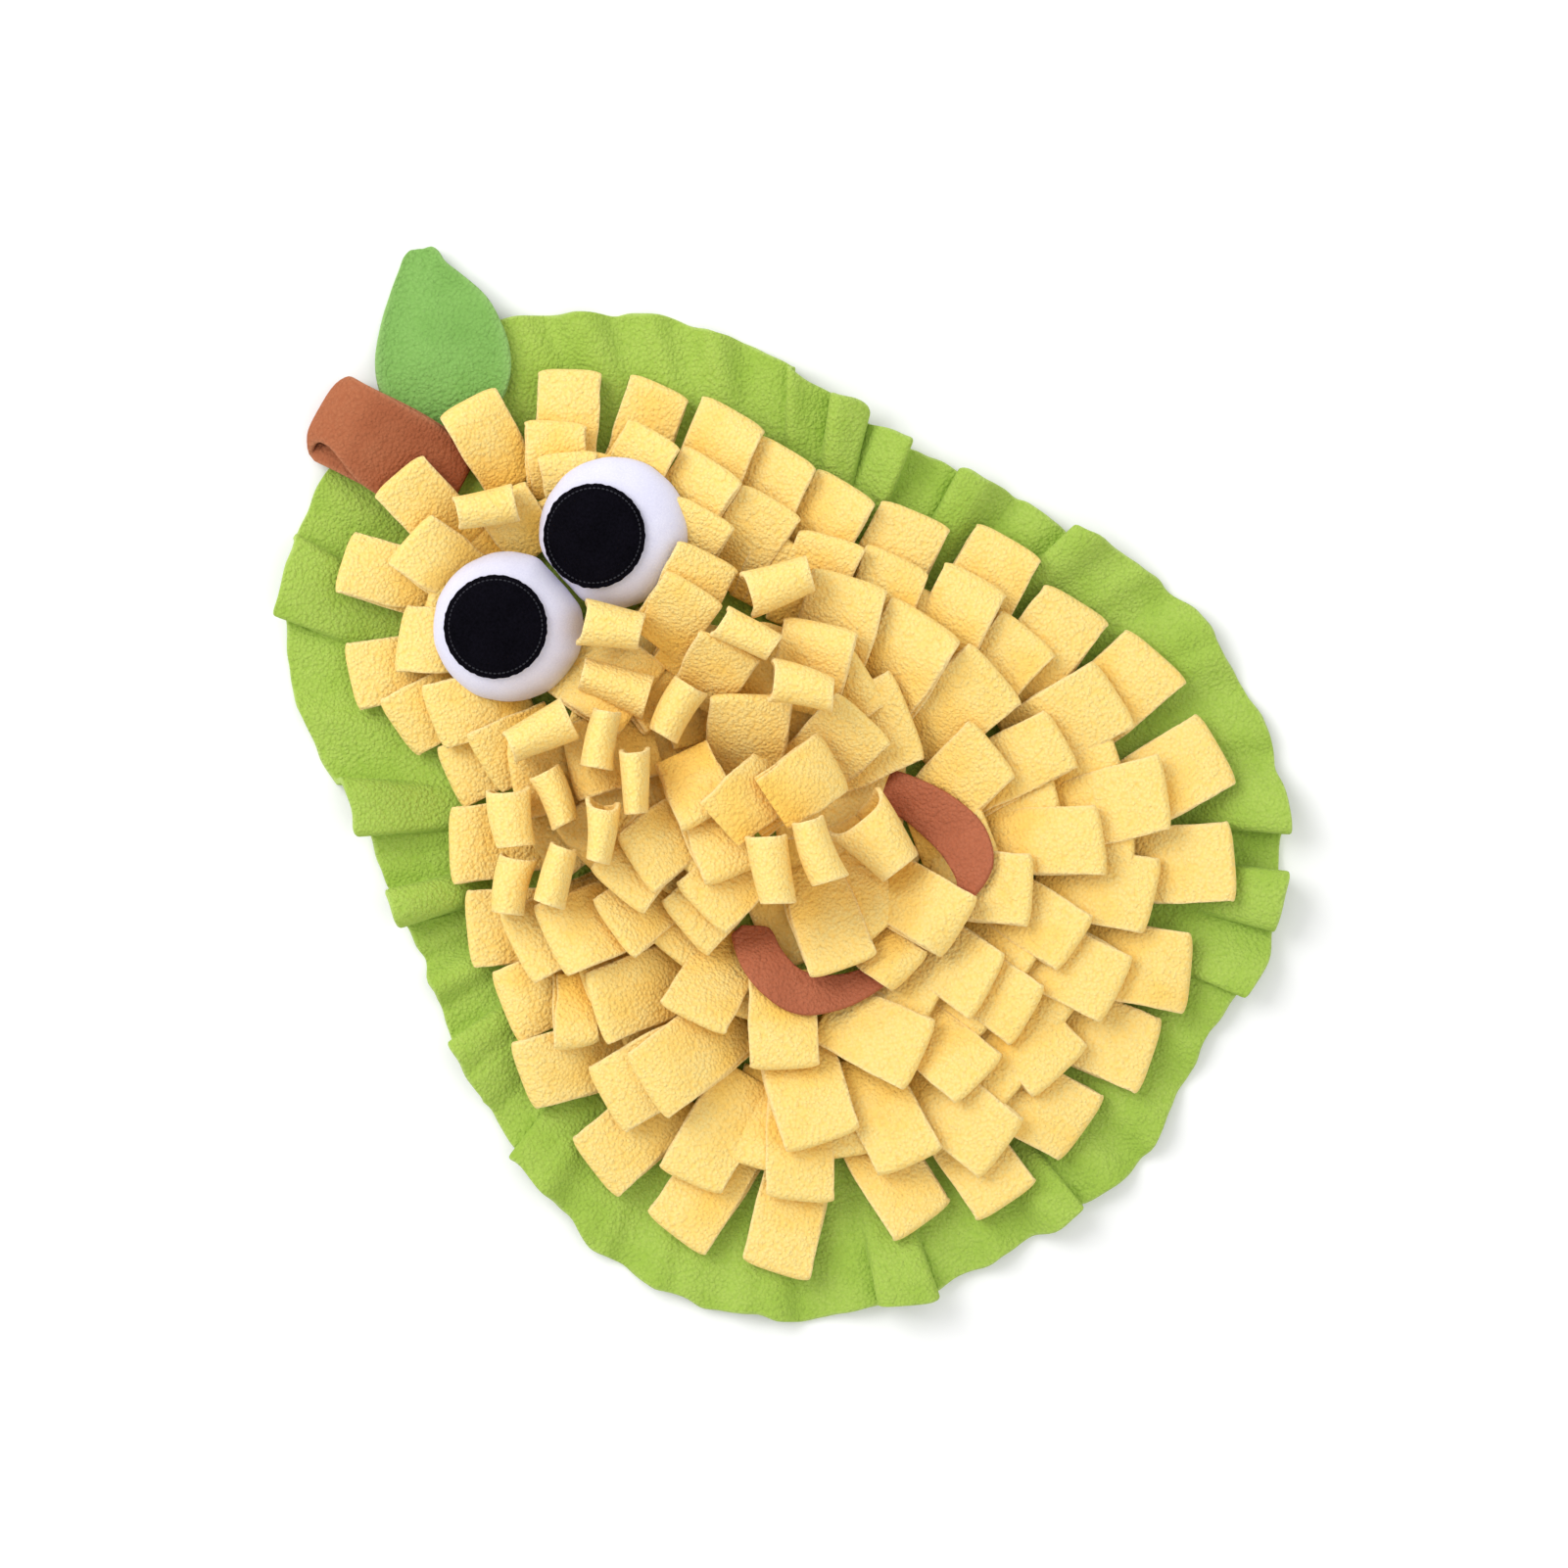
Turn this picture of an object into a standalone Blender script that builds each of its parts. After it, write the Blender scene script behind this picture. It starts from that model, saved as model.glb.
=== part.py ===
"""Pear-shaped snuffle mat of fleece, for a small pet.

A green base with a gathered rim lies flat on the floor. Yellow strips, folded double into tabs, are sewn on it in
rows, laid like shingles from the rim inward, so each new strip lies on what is already there. Strips that stand as
open loops fill the middle. A leaf, a folded stem, two stuffed eyes with black pupils and a smile finish the pear.

Numbers are millimetres and degrees; build_mesh turns them into metres. X runs across the pear, +Y to its stem, +Z up.
The origin lies on the floor under the middle of the whole mat.
"""

import math
from typing import NamedTuple

import bmesh
import bpy
import numpy as np

MM = 0.001

# Cloth thicknesses and the daylight between touching pieces
BASE_CLOTH = 2.2
STRIP_CLOTH = 1.5
STEM_CLOTH = 2.0
LEAF_FELT = 2.6
MOUTH_FELT = 1.8
PUPIL_FELT = 1.4
AIR = 0.45
ROW_BESIDE, LOOP_BESIDE = -0.05, 1.2  # how far a row or a loop may sink beside a steeper piece

# Base: the belly's centre, which the bearings below are taken from, and the gathered band at the rim
BELLY_X, BELLY_Y = 0.0, -20.0
GATHER_DEPTH = 34.0
RIM_LIFT = 4.0
RING_INSETS = (0.0, 3.0, 11.0, 21.0, GATHER_DEPTH)
BEARING_STEP = 5.0
TUCK_HALF_WALL = 0.45

# A folded strip: how it is pinched at its sewn root, and how steeply it can climb or lean
ROOT_BACK = 2.5
ROOT_FRONT = 3.0
ROOT_PINCH = 0.8
FULL_WIDTH_FROM = 0.33
BEND_AT = 0.66
NOSE = 2.2
ROOT_AIR = 0.5
CLIMB = 0.8
MOST_LEAN = 0.3

# Eyes and pupils
EYE_RADIUS = 23.0
EYE_WAIST = 10.5
EYE_CROWN = 13.0
EYE_UNDER = (0.3, 0.45, 0.75, 0.93)
EYE_OVER = (1.0, 0.96, 0.85, 0.65, 0.4, 0.15)
EYE_SEGMENTS = 24
EYE_SQUARENESS = 2.6
EYE_SQUEEZE = 21.0
PUPIL_RADIUS = 15.6


class Row(NamedTuple):
    """A sewn row of tabs: tips and headings of its first and last tab, the rest spread evenly between.

    Rows of one name, one after the other in a table, share one backing.
    """

    name: str
    tabs: int
    x0: float
    y0: float
    heading0: float
    x1: float
    y1: float
    heading1: float
    bow: float  # how far the middle tab stands out past the line of the ends
    swing: float  # how far the middle tab turns from the mean heading
    width: float
    reach: float  # from sewn root to tip
    loft: float  # daylight between its two layers near the fold


class Loop(NamedTuple):
    """A strip standing as an open loop, seen from above as a rounded bar."""

    group: str
    x: float
    y: float
    axis: float  # direction of its fold
    length: float
    span: float
    height: float


class Fold(NamedTuple):
    """A fold of the gathered rim. Side +1 or -1 lies on top past a sharp edge, and 0 is a soft valley."""

    bearing: float
    side: int
    span: float
    lift: float
    jut: float


# Radius of the rim about the belly's centre, at every 15 degrees of bearing from 0
RIM_RADII = (
    124, 119, 122, 139, 158, 171, 172, 168, 153, 128, 119, 119,
    127, 138, 152, 157, 157, 155, 157, 152, 158, 157, 150, 138,
)

RIM_FOLDS = (
    Fold(84, 0, 4.5, 2.5, 0.5),
    Fold(69, 0, 3.0, 4.5, 0.5),
    Fold(62, 0, 3.5, 5.0, 1.5),
    Fold(55, 0, 4.0, 4.0, 0.0),
    Fold(48, 0, 3.0, 2.5, 0.5),
    Fold(42, -1, 5.5, 5.0, 2.5),
    Fold(36, -1, 3.5, 5.0, 2.0),
    Fold(31, 1, 3.5, 5.5, 2.5),
    Fold(24, 1, 4.5, 5.5, 3.0),
    Fold(15, -1, 5.5, 6.5, 3.5),
    Fold(6, 0, 4.0, 2.5, 0.0),
    Fold(-3, -1, 6.5, 6.0, 3.0),
    Fold(-17, 0, 5.0, 3.5, 0.5),
    Fold(-30, 0, 5.0, 3.5, 1.0),
    Fold(-40, 0, 3.5, 2.5, 0.5),
    Fold(-48, 1, 5.0, 6.0, 3.0),
    Fold(-53, -1, 3.5, 6.0, 2.5),
    Fold(-59, 1, 4.5, 5.5, 3.0),
    Fold(-67, 1, 5.5, 6.5, 4.0),
    Fold(-79, 0, 5.5, 2.5, 0.0),
    Fold(-90, 0, 4.0, 2.0, 0.5),
    Fold(-98, -1, 5.0, 6.0, 3.5),
    Fold(-104, 0, 2.5, 5.0, 3.0),
    Fold(-111, 0, 3.0, 2.5, 0.0),
    Fold(-117, -1, 4.5, 5.5, 2.5),
    Fold(-123, 1, 4.0, 5.0, 1.5),
    Fold(-132, 0, 3.0, 5.5, -1.5),
    Fold(-142, 0, 4.0, 2.5, 0.5),
    Fold(-153, 0, 6.0, 3.0, 0.5),
    Fold(-163, 0, 4.0, 2.5, 0.0),
    Fold(-172, 1, 6.0, 6.0, 4.0),
    Fold(171, 1, 6.0, 6.5, 4.0),
    Fold(159, 0, 4.0, 4.0, 0.5),
    Fold(152, -1, 4.0, 5.5, 2.0),
    Fold(147, 1, 4.0, 6.0, 3.0),
    Fold(138, -1, 4.5, 6.5, 2.5),
    Fold(131, 1, 4.5, 6.5, 2.5),
    Fold(121, 0, 4.0, 3.5, 0.5),
    Fold(113, -1, 5.0, 6.0, 3.5),
    Fold(105, 1, 5.0, 5.0, 2.5),
    Fold(96, 0, 3.5, 2.5, 0.5),
)

# Rows in the order of sewing, rim first. Columns as in Row.
ROWS_UNDER_EYES = (
    Row("rim_1", 3, 24, 134, 72, -38, 127, 116, 2.5, -8, 19, 26, 1.8),
    Row("rim_2", 3, -62, 101, 142, -64, 56, 166, 1, 8, 20, 26, 1.8),
    Row("rim_2", 3, -78, 42, 142, -102, -5, 160, 3, -11, 23, 27, 1.8),
    Row("rim_4", 2, -113, -23, 150, -118, -59, 176, 0, 0, 22, 33, 2),
    Row("rim_4", 2, -115, -91, 190, -101, -121, 212, 0, 0, 21.5, 34, 2),
    Row("rim_6", 2, -58, -143, 258, -35, -157, 262, 0, 0, 21, 33, 2),
    Row("rim_6", 3, -4, -158, -76, 54, -147, -54, 5, -3, 24, 33, 2.1),
    Row("rim_8", 3, 87, -133, -44, 117, -71, -2, 8, 7, 24, 33, 2.1),
    Row("rim_8", 3, 111, -42, 10, 96, 11, 16, 6.5, 3, 23, 33, 2),
    Row("rim_10", 3, 87, 33, 16, 79, 73, 20, -1, -2, 21, 31, 1.8),
    Row("rim_10", 2, 69, 95, 24, 52, 119, 44, 0, 0, 19, 26, 1.8),
    Row("second_10", 1, -94, -29, -133, -94, -29, -133, 0, 0, 13, 19, 3.1),
    Row("second_1", 3, -26, -144, -88, 34, -135, -74, 1, -11, 22.5, 33, 2),
    Row("second_1", 3, 62, -123, -58, 99, -71, -18, 9.5, 6, 23, 33, 2),
    Row("second_3", 3, 94, -38, 4, 82, 6, 24, 6.5, 6, 20.5, 31, 1.8),
    Row("second_3", 3, 72, 25, 22, 63, 66, 12, 0, -5, 20.5, 27, 1.8),
    Row("second_5", 2, 57, 85, 12, 38, 110, 44, 0, 0, 18, 20, 1.7),
    Row("second_6", 2, -19, 117, 98, -43, 98, 130, 0, 0, 20, 21, 1.7),
    Row("second_7", 2, -54, 73, 152, -53, 52, 162, 0, 0, 20, 22, 1.7),
    Row("second_8", 3, -86, 6, 160, -100, -46, 164, -12, -8, 23, 31, 2),
    Row("second_9", 3, -100, -82, 194, -48, -127, 252, 8.5, 1, 21, 34, 2),
    Row("third_1", 3, -15, -124, -86, 35, -116, -78, 1, 4, 20, 31, 1.8),
    Row("third_2", 2, 64, -99, -44, 78, -68, -16, 0, 0, 20.5, 31, 1.8),
    Row("third_3", 3, 78, -40, -6, 67, 12, 28, 2.5, 3, 24, 31, 2),
    Row("third_4", 1, 51, 57, 12, 51, 57, 12, 0, 0, 19, 20, 1.7),
    Row("third_5", 2, 34, 100, 52, 9, 107, 80, 0, 0, 18, 18, 1.5),
    Row("third_6", 1, -77, 0, 156, -77, 0, 156, 0, 0, 23.5, 31, 2),
    Row("third_7", 1, -88, -52, 170, -88, -52, 170, 0, 0, 23.5, 33, 2),
    Row("third_8", 1, -62, -103, -118, -62, -103, -118, 0, 0, 24, 33, 2),
    Row("fourth_1", 2, -60, 22, 172, -50, 42, 148, 0, 0, 24, 28, 1.8),
    Row("fourth_2", 2, -36, 10, 190, -34, 34, 150, 0, 0, 24, 24, 1.8),
    Row("fourth_3", 1, 16, 34, 60, 16, 34, 60, 0, 0, 24, 26, 1.8),
)

ROWS_UNDER_MOUTH = (
    Row("inner_1", 2, -22, -106, -72, 8, -106, -78, 0, 0, 22.5, 29, 2),
    Row("inner_2", 2, 38, -94, -48, 61, -56, -2, 0, 0, 21.5, 27, 2),
    Row("inner_3", 2, 50, -12, -10, 51, 8, 30, 0, 0, 22, 24, 2),
    Row("inner_4", 1, 42, 47, 14, 42, 47, 14, 0, 0, 20, 20, 1.8),
    Row("inner_5", 2, 32, 43, 7, 27, 24, 14, 0, 0, 19.5, 18, 2.8),
    Row("inner_6", 3, -61, -12, 174, -54, -79, 228, 6.5, -7, 21, 26, 2),
)

ROWS_OVER_MOUTH = (
    Row("middle_1", 1, -6, -86, -80, -6, -86, -80, 0, 0, 16, 19, 1.8),
    Row("middle_2", 2, 14.5, -87, -74, -20, -70, -116, 0, 0, 21, 30, 2),
    Row("middle_3", 1, 40, -21, -2, 40, -21, -2, 0, 0, 22.5, 22, 2),
    Row("middle_5", 2, -52, -4, 186, -46, -27, 180, 0, 0, 21, 24, 1.8),
    Row("middle_6", 2, -42, -2, 172, -38, -26, 176, 0, 0, 21, 20, 1.8),
    Row("middle_7", 1, -22, -27, -110, -22, -27, -110, 0, 0, 19, 22, 2),
    Row("middle_4", 1, 20, 9, 40, 20, 9, 40, 0, 0, 25, 22, 2.4),
    Row("middle_8", 1, -15, -9, -110, -15, -9, -110, 0, 0, 19, 18, 2.2),
    Row("middle_9", 2, 9, -14, -4, 24, -24, -12, 0, 0, 19.5, 20, 2.4),
)

LOOPS = (
    Loop("loops_stem", 4, 106, 145, 19, 11, 12),
    Loop("loops_top", -7, 40, 114, 22, 12, 15),
    Loop("loops_top", 5, 53, 125, 19, 13, 14),
    Loop("loops_left_1", -71.5, 19.5, 33, 18, 11, 15),
    Loop("loops_left_1", -60, 12, 30, 18.5, 9.5, 15),
    Loop("loops_left_2", -57, 34, 52, 18, 13, 14),
    Loop("loops_left_2", -44, 29, 66, 17.5, 9.5, 16),
    Loop("loops_left_2", -41, 12, 40, 19, 9.0, 16),
    Loop("loops_left_3", -23, 15, 46, 20, 8.5, 18),
    Loop("loops_left_3", -21, 31, 34, 18, 9.5, 17),
    Loop("loops_left_4", -33, 46, 160, 21, 12, 15),
    Loop("loops_right_1", 49.5, 26, 154, 21, 13, 12),
    Loop("loops_right_2", 32, 22, 108, 19, 10, 11),
    Loop("loops_right_3", 32, -1, 120, 20, 12, 12),
    Loop("loops_nose", 1, 21, 15, 18, 11, 14),
    Loop("loops_mouth", -13, -33, 55, 21, 12, 14),
    Loop("loops_mouth", 1, -39, 65, 20, 11.0, 14),
    Loop("loops_mouth", 15.5, -49, 84, 21, 16, 14),
)

# The stem is one more folded strip, of brown fleece
STEM = Row("stem", 1, -10, 163, 106, -10, 163, 106, 0, 0, 27, 44, 4.2)

# Leaf: distance along its vein from the sewn end, and half widths left and right of the vein
LEAF_ROOT_X, LEAF_ROOT_Y, LEAF_HEADING = 12.0, 132.0, 50.0
LEAF_STATIONS = (
    (-6, 5, 5),
    (4, 14, 15),
    (14, 19, 21),
    (24, 19.5, 22),
    (33, 17, 20.5),
    (41, 13.5, 17),
    (48, 9.5, 11),
    (54, 5.5, 5.5),
    (57.5, 1.5, 1.5),
)

# Smile: bearing about its centre, inner and outer radius
MOUTH_X, MOUTH_Y = 0.0, -42.0
MOUTH_STATIONS = (
    (174, 33, 36),
    (186, 27.5, 41),
    (200, 31, 45),
    (214, 35, 48),
    (230, 36, 46.5),
    (250, 36, 43),
    (272, 35, 40.5),
    (289, 36, 41),
    (302, 42, 48),
    (312, 38, 51.5),
    (324, 32.5, 50.5),
    (338, 28, 44.5),
    (352, 25, 38.5),
    (371, 30.5, 33),
)

EYES = (("right", 26.0, 73.0, 21.0, 76.0), ("left", -17.0, 76.0, -19.5, 78.0))

LIME = (0.47, 0.72, 0.13)
BUTTER = (0.93, 0.73, 0.22)
LEAF_GREEN = (0.21, 0.55, 0.12)
BARK = (0.41, 0.11, 0.05)
LIP = (0.43, 0.12, 0.07)
PLUSH = (0.79, 0.78, 0.90)
INK = (0.008, 0.008, 0.012)


def clear_scene():
    for old in list(bpy.data.objects):
        bpy.data.objects.remove(old, do_unlink=True)


def fleece(name, colour, roughness=0.95):
    """A plain fabric finish, one for each cloth."""
    made = bpy.data.materials.get(name)
    if made:
        return made
    made = bpy.data.materials.new(name)
    made.use_nodes = True
    shader = made.node_tree.nodes["Principled BSDF"]
    shader.inputs["Base Color"].default_value = (*colour, 1.0)
    shader.inputs["Roughness"].default_value = roughness
    shader.inputs["Metallic"].default_value = 0.0
    made.diffuse_color = (*colour, 1.0)
    return made


def unit(angle):
    """The direction of a heading in the plane, and the direction to its left."""
    turn = math.radians(angle)
    along = np.array((math.cos(turn), math.sin(turn)))
    return along, np.array((-along[1], along[0]))


class Relief:
    """The height of everything laid so far, on a grid over the mat, so that the next piece can lie on it."""

    CELL = 0.5
    HALF_X, HALF_Y = 150.0, 195.0
    SAMPLE = 0.42

    def __init__(self):
        shape = (int(2 * self.HALF_X / self.CELL), int(2 * self.HALF_Y / self.CELL))
        self.grid = np.zeros(shape)

    def cells(self, x, y):
        column = np.floor((np.asarray(x) + self.HALF_X) / self.CELL).astype(int)
        line = np.floor((np.asarray(y) + self.HALF_Y) / self.CELL).astype(int)
        return column.clip(0, self.grid.shape[0] - 1), line.clip(0, self.grid.shape[1] - 1)

    def samples(self, bm):
        """Points spread over each triangle of a mesh, closer together than the grid's cells."""
        for a, b, c in bm.calc_loop_triangles():
            corners = np.array([a.vert.co, b.vert.co, c.vert.co])
            longest = max(np.linalg.norm(corners - np.roll(corners, 1, axis=0), axis=1))
            steps = max(2, math.ceil(longest / self.SAMPLE))
            u, v = np.meshgrid(np.linspace(0, 1, steps), np.linspace(0, 1, steps))
            inside = u + v <= 1.0001
            u, v = u[inside][:, None], v[inside][:, None]
            yield corners[0] * (1 - u - v) + corners[1] * u + corners[2] * v

    def lay(self, bm):
        """Raises the grid to the top of a mesh."""
        for points in self.samples(bm):
            np.maximum.at(self.grid, self.cells(points[:, 0], points[:, 1]), points[:, 2])

    def settle(self, bm, beside):
        """Lowers a finished piece, level as it is, to AIR over what it stands on and past steep flanks beside it.

        beside is how far it may go below the top of the cells next to its own.
        """
        x, y, z = np.concatenate(list(self.samples(bm))).T
        drop = min((z - self.top(x, y, around=0)).min() - AIR, (z - self.top(x, y)).min() + beside)
        bmesh.ops.translate(bm, vec=(0, 0, -drop), verts=bm.verts[:])

    def top(self, x, y, around=1):
        """The greatest height within so many cells of each point."""
        column, line = self.cells(x, y)
        tops = np.zeros(np.shape(column))
        for i in range(-around, around + 1):
            for j in range(-around, around + 1):
                near = self.grid[
                    (column + i).clip(0, self.grid.shape[0] - 1),
                    (line + j).clip(0, self.grid.shape[1] - 1),
                ]
                tops = np.maximum(tops, near)
        return tops


def build_mesh(name, bm, material):
    """Closes a bmesh in millimetres into an object in metres."""
    bmesh.ops.recalc_face_normals(bm, faces=bm.faces[:])
    if bm.calc_volume(signed=True) < 0:
        bmesh.ops.reverse_faces(bm, faces=bm.faces[:])
    bmesh.ops.scale(bm, vec=(MM, MM, MM), verts=bm.verts[:])
    mesh = bpy.data.meshes.new(name)
    bm.to_mesh(mesh)
    bm.free()
    obj = bpy.data.objects.new(name, mesh)
    obj.data.materials.append(material)
    bpy.context.scene.collection.objects.link(obj)
    mesh.shade_smooth()
    mesh.set_sharp_from_angle(angle=math.radians(40))
    return obj


def band(bm, first, second, closed=True):
    """Quads between two rows of vertices."""
    count = len(first) if closed else len(first) - 1
    for i in range(count):
        j = (i + 1) % len(first)
        bm.faces.new((first[i], first[j], second[j], second[i]))


# ---- the green base


def rim_radius(bearing):
    """The smooth pear outline, by a closed Catmull-Rom curve through RIM_RADII."""
    place = (bearing % 360) / 15.0
    i, t = int(place), place % 1
    a, b, c, d = (RIM_RADII[(i + k) % len(RIM_RADII)] for k in (-1, 0, 1, 2))
    return b + 0.5 * t * (c - a + t * (2 * a - 5 * b + 4 * c - d + t * (3 * (b - c) + d - a)))


def fold_shape(fold, bearing):
    """1 at the top of a fold's flap, falling off along its span, and slightly below 0 beside its sharp edge."""
    off = (bearing - fold.bearing + 180) % 360 - 180
    if fold.side == 0:
        return -math.exp(-2.2 * (off / fold.span) ** 2)
    off *= fold.side
    wall = TUCK_HALF_WALL
    if off >= wall:
        return 0.5 + 0.5 * math.cos(math.pi * min(1.0, (off - wall) / (1.6 * fold.span)))
    if off > -wall:
        return -0.35 + 1.35 * (off + wall) / (2 * wall)
    return -0.35 * (0.5 + 0.5 * math.cos(math.pi * min(1.0, -(off + wall) / (1.6 * fold.span))))


def rim_relief(bearing):
    """How far the folds lift the rim, and push it outwards."""
    shapes = [(fold, fold_shape(fold, bearing)) for fold in RIM_FOLDS]
    lift = RIM_LIFT + sum(fold.lift * shape for fold, shape in shapes)
    return max(0.0, lift), sum(fold.jut * shape for fold, shape in shapes)


def rim_bearings():
    """Evenly spaced bearings, with a close pair at each sharp fold."""
    edges = [f.bearing + k * TUCK_HALF_WALL for f in RIM_FOLDS if f.side for k in (-1, 1)]
    even = np.arange(-180, 180, BEARING_STEP)
    clear = [b for b in even if min(abs((b - e + 180) % 360 - 180) for e in edges) > 1.4]
    return sorted(edges + clear)


def build_base(relief):
    bm = bmesh.new()
    rings = []
    for inset in RING_INSETS:
        ring = []
        for bearing in rim_bearings():
            lift, jut = rim_relief(bearing)
            depth = 1 - inset / GATHER_DEPTH
            ease = depth * depth * (3 - 2 * depth)
            radius = rim_radius(bearing) - inset + jut * ease
            along, _ = unit(bearing)
            x, y = BELLY_X + radius * along[0], BELLY_Y + radius * along[1]
            ring.append(bm.verts.new((x, y, BASE_CLOTH + lift * ease)))
        rings.append(ring)
    for outer, inner in zip(rings, rings[1:]):
        band(bm, outer, inner)
    bm.faces.new(rings[-1])
    bmesh.ops.recalc_face_normals(bm, faces=bm.faces[:])
    if bm.faces[-1].normal.z < 0:
        bmesh.ops.reverse_faces(bm, faces=bm.faces[:])
    bmesh.ops.solidify(bm, geom=bm.faces[:], thickness=BASE_CLOTH)
    for vert in bm.verts:
        if vert.co.z < 0.35:
            vert.co.z = 0.0
    relief.lay(bm)
    return build_mesh("base", bm, fleece("lime_fleece", LIME))


# ---- folded strips


def width_at(along, width, reach):
    """A strip's width: gathered at its root, full from FULL_WIDTH_FROM of its reach."""
    grown = np.clip((np.asarray(along) - ROOT_FRONT) / (FULL_WIDTH_FROM * reach - ROOT_FRONT), 0, 1)
    return width * (ROOT_PINCH + (1 - ROOT_PINCH) * grown)


def bed_under(relief, root, heading, width, reach, least):
    """Heights that a strip's left and right edges have to stay above, at each millimetre of its reach."""
    forward, left = unit(heading)
    along = np.arange(-ROOT_BACK - 0.5, reach + 1.0, 1.0)
    across = np.linspace(-0.5, 0.5, 21)
    wide = width_at(along, width, reach)[:, None] + 0.8
    x = root[0] + forward[0] * along[:, None] + left[0] * across * wide
    y = root[1] + forward[1] * along[:, None] + left[1] * across * wide
    below = relief.top(x, y)
    below[along <= ROOT_FRONT + 1] = np.maximum(below[along <= ROOT_FRONT + 1], least)
    right_edge, left_edge = below[:, :9].max(axis=1), below[:, 12:].max(axis=1)
    lean = MOST_LEAN * width
    right_edge, left_edge = np.maximum(right_edge, left_edge - lean), np.maximum(left_edge, right_edge - lean)
    straight = right_edge[:, None] + (left_edge - right_edge)[:, None] * (across + 0.5)
    proud = (below - straight).max(axis=1).clip(0)
    fall = CLIMB * abs(along[:, None] - along[None, :])
    return along, [(edge + proud - fall).max(axis=1) for edge in (left_edge, right_edge)]


def taut(along, bed, stations):
    """The lowest heights at the stations for which the straight lines between them clear the bed."""
    heights = np.interp(stations, along, bed)
    inside = (along >= stations[0]) & (along <= stations[-1])
    for _ in range(60):
        short = np.where(inside, bed - np.interp(along, stations, heights), -1.0)
        worst = short.argmax()
        if short[worst] < 0.01:
            break
        i = int(np.searchsorted(stations, along[worst]).clip(1, len(stations) - 1))
        t = (along[worst] - stations[i - 1]) / (stations[i] - stations[i - 1])
        share = (1 - t) ** 2 + t**2
        heights[i - 1] += short[worst] * (1 - t) / share
        heights[i] += short[worst] * t / share
    return heights


def strip_stations(reach):
    """Distances from the sewn root at which a strip bends: its back, its front, two along it, its nose and its tip."""
    return np.array((-ROOT_BACK, ROOT_FRONT, FULL_WIDTH_FROM * reach, BEND_AT * reach, reach - NOSE, reach))


def strip_profile(bottom, reach, loft, cloth):
    """Outer and inner outline of a folded strip, as (along, height), from the root round the fold and back."""
    lower = list(zip(strip_stations(reach)[1:-1], bottom[1:-1]))
    gaps = (ROOT_AIR, 0.55 * loft, 0.8 * loft, 0.95 * loft)
    upper = [(s, z + 2 * cloth + gap) for (s, z), gap in zip(lower, gaps)]
    heart = [(low[1] + high[1]) / 2 for low, high in zip(lower, upper)]
    outer = [(-ROOT_BACK, heart[0]), *lower, (reach, heart[-1]), *reversed(upper)]
    inner_low = [(s - 0.3 * i, z + cloth) for i, (s, z) in enumerate(lower)]
    inner_high = [(s - 0.3 * i, z - cloth) for i, (s, z) in enumerate(upper)]
    inner = [(0.8, heart[0]), *inner_low, (reach - cloth, heart[-1]), *reversed(inner_high)]
    return outer, inner


class Ring:
    """One folded strip as vertices: an outer and an inner outline at each of its two sides."""

    def __init__(self, bm, outlines):
        """outlines holds, for the left and the right side, the outer and the inner points."""
        self.left = [[bm.verts.new(p) for p in loop] for loop in outlines[0]]
        self.right = [[bm.verts.new(p) for p in loop] for loop in outlines[1]]
        self.open_quads = set()

    def end_quad(self, side):
        """The quad of the sewn root at one side, opened for a link."""
        self.open_quads.add((side, 0))
        outer, inner = getattr(self, side)
        return [outer[0], outer[1], inner[1], inner[0]]

    def foot_quad(self, ahead, swapped):
        """The quad under one flank of a standing loop, opened for a link."""
        j = 1 if ahead else len(self.left[0]) - 1
        self.open_quads.add(("flank", 0 if ahead else j))
        first, second = (self.right[0], self.left[0]) if swapped else (self.left[0], self.right[0])
        return [first[0], first[j], second[j], second[0]]

    def skin(self, bm):
        count = len(self.left[0])
        for i in range(count):
            j = (i + 1) % count
            for wall, a, b in (("flank", self.left[0], self.right[0]), ("bore", self.left[1], self.right[1])):
                if (wall, i) not in self.open_quads:
                    ridge_quad(bm, a[i], a[j], b[j], b[i])
            for side in ("left", "right"):
                outer, inner = getattr(self, side)
                if (side, i) not in self.open_quads:
                    bm.faces.new((outer[i], outer[j], inner[j], inner[i]))


def ridge_quad(bm, a, b, c, d):
    """Two triangles that fold upwards along the higher diagonal, so a twisted strip never sags between its edges."""
    if a.co.z + c.co.z < b.co.z + d.co.z:
        a, b, c, d = b, c, d, a
    bm.faces.new((a, b, c))
    bm.faces.new((a, c, d))


def lay_strip(bm, relief, root, heading, row, cloth, least):
    """A folded strip lying on what is below it."""
    forward, left = unit(heading)
    along, beds = bed_under(relief, root, heading, row.width, row.reach, least)
    stations = strip_stations(row.reach)
    outlines = []
    for bed, hand in zip(beds, (0.5, -0.5)):
        bottom = taut(along, bed + AIR, stations)
        loops = []
        for outline in strip_profile(bottom, row.reach, row.loft, cloth):
            loop = []
            for s, z in outline:
                side = left * hand * float(width_at(s, row.width, row.reach))
                loop.append((*(root + forward * s + side), z))
            loops.append(loop)
        outlines.append(loops)
    return Ring(bm, outlines)


def lay_ring(relief, ring):
    """Adds one strip to the relief, before its row is finished."""
    scratch = bmesh.new()
    copies = {vert: scratch.verts.new(vert.co) for loop in ring.left + ring.right for vert in loop}
    for a, b in ((ring.left[0], ring.right[0]), ring.left, ring.right):
        a, b = [copies[v] for v in a], [copies[v] for v in b]
        for i in range(len(a)):
            ridge_quad(scratch, a[i - 1], a[i], b[i], b[i - 1])
    relief.lay(scratch)
    scratch.free()


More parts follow.
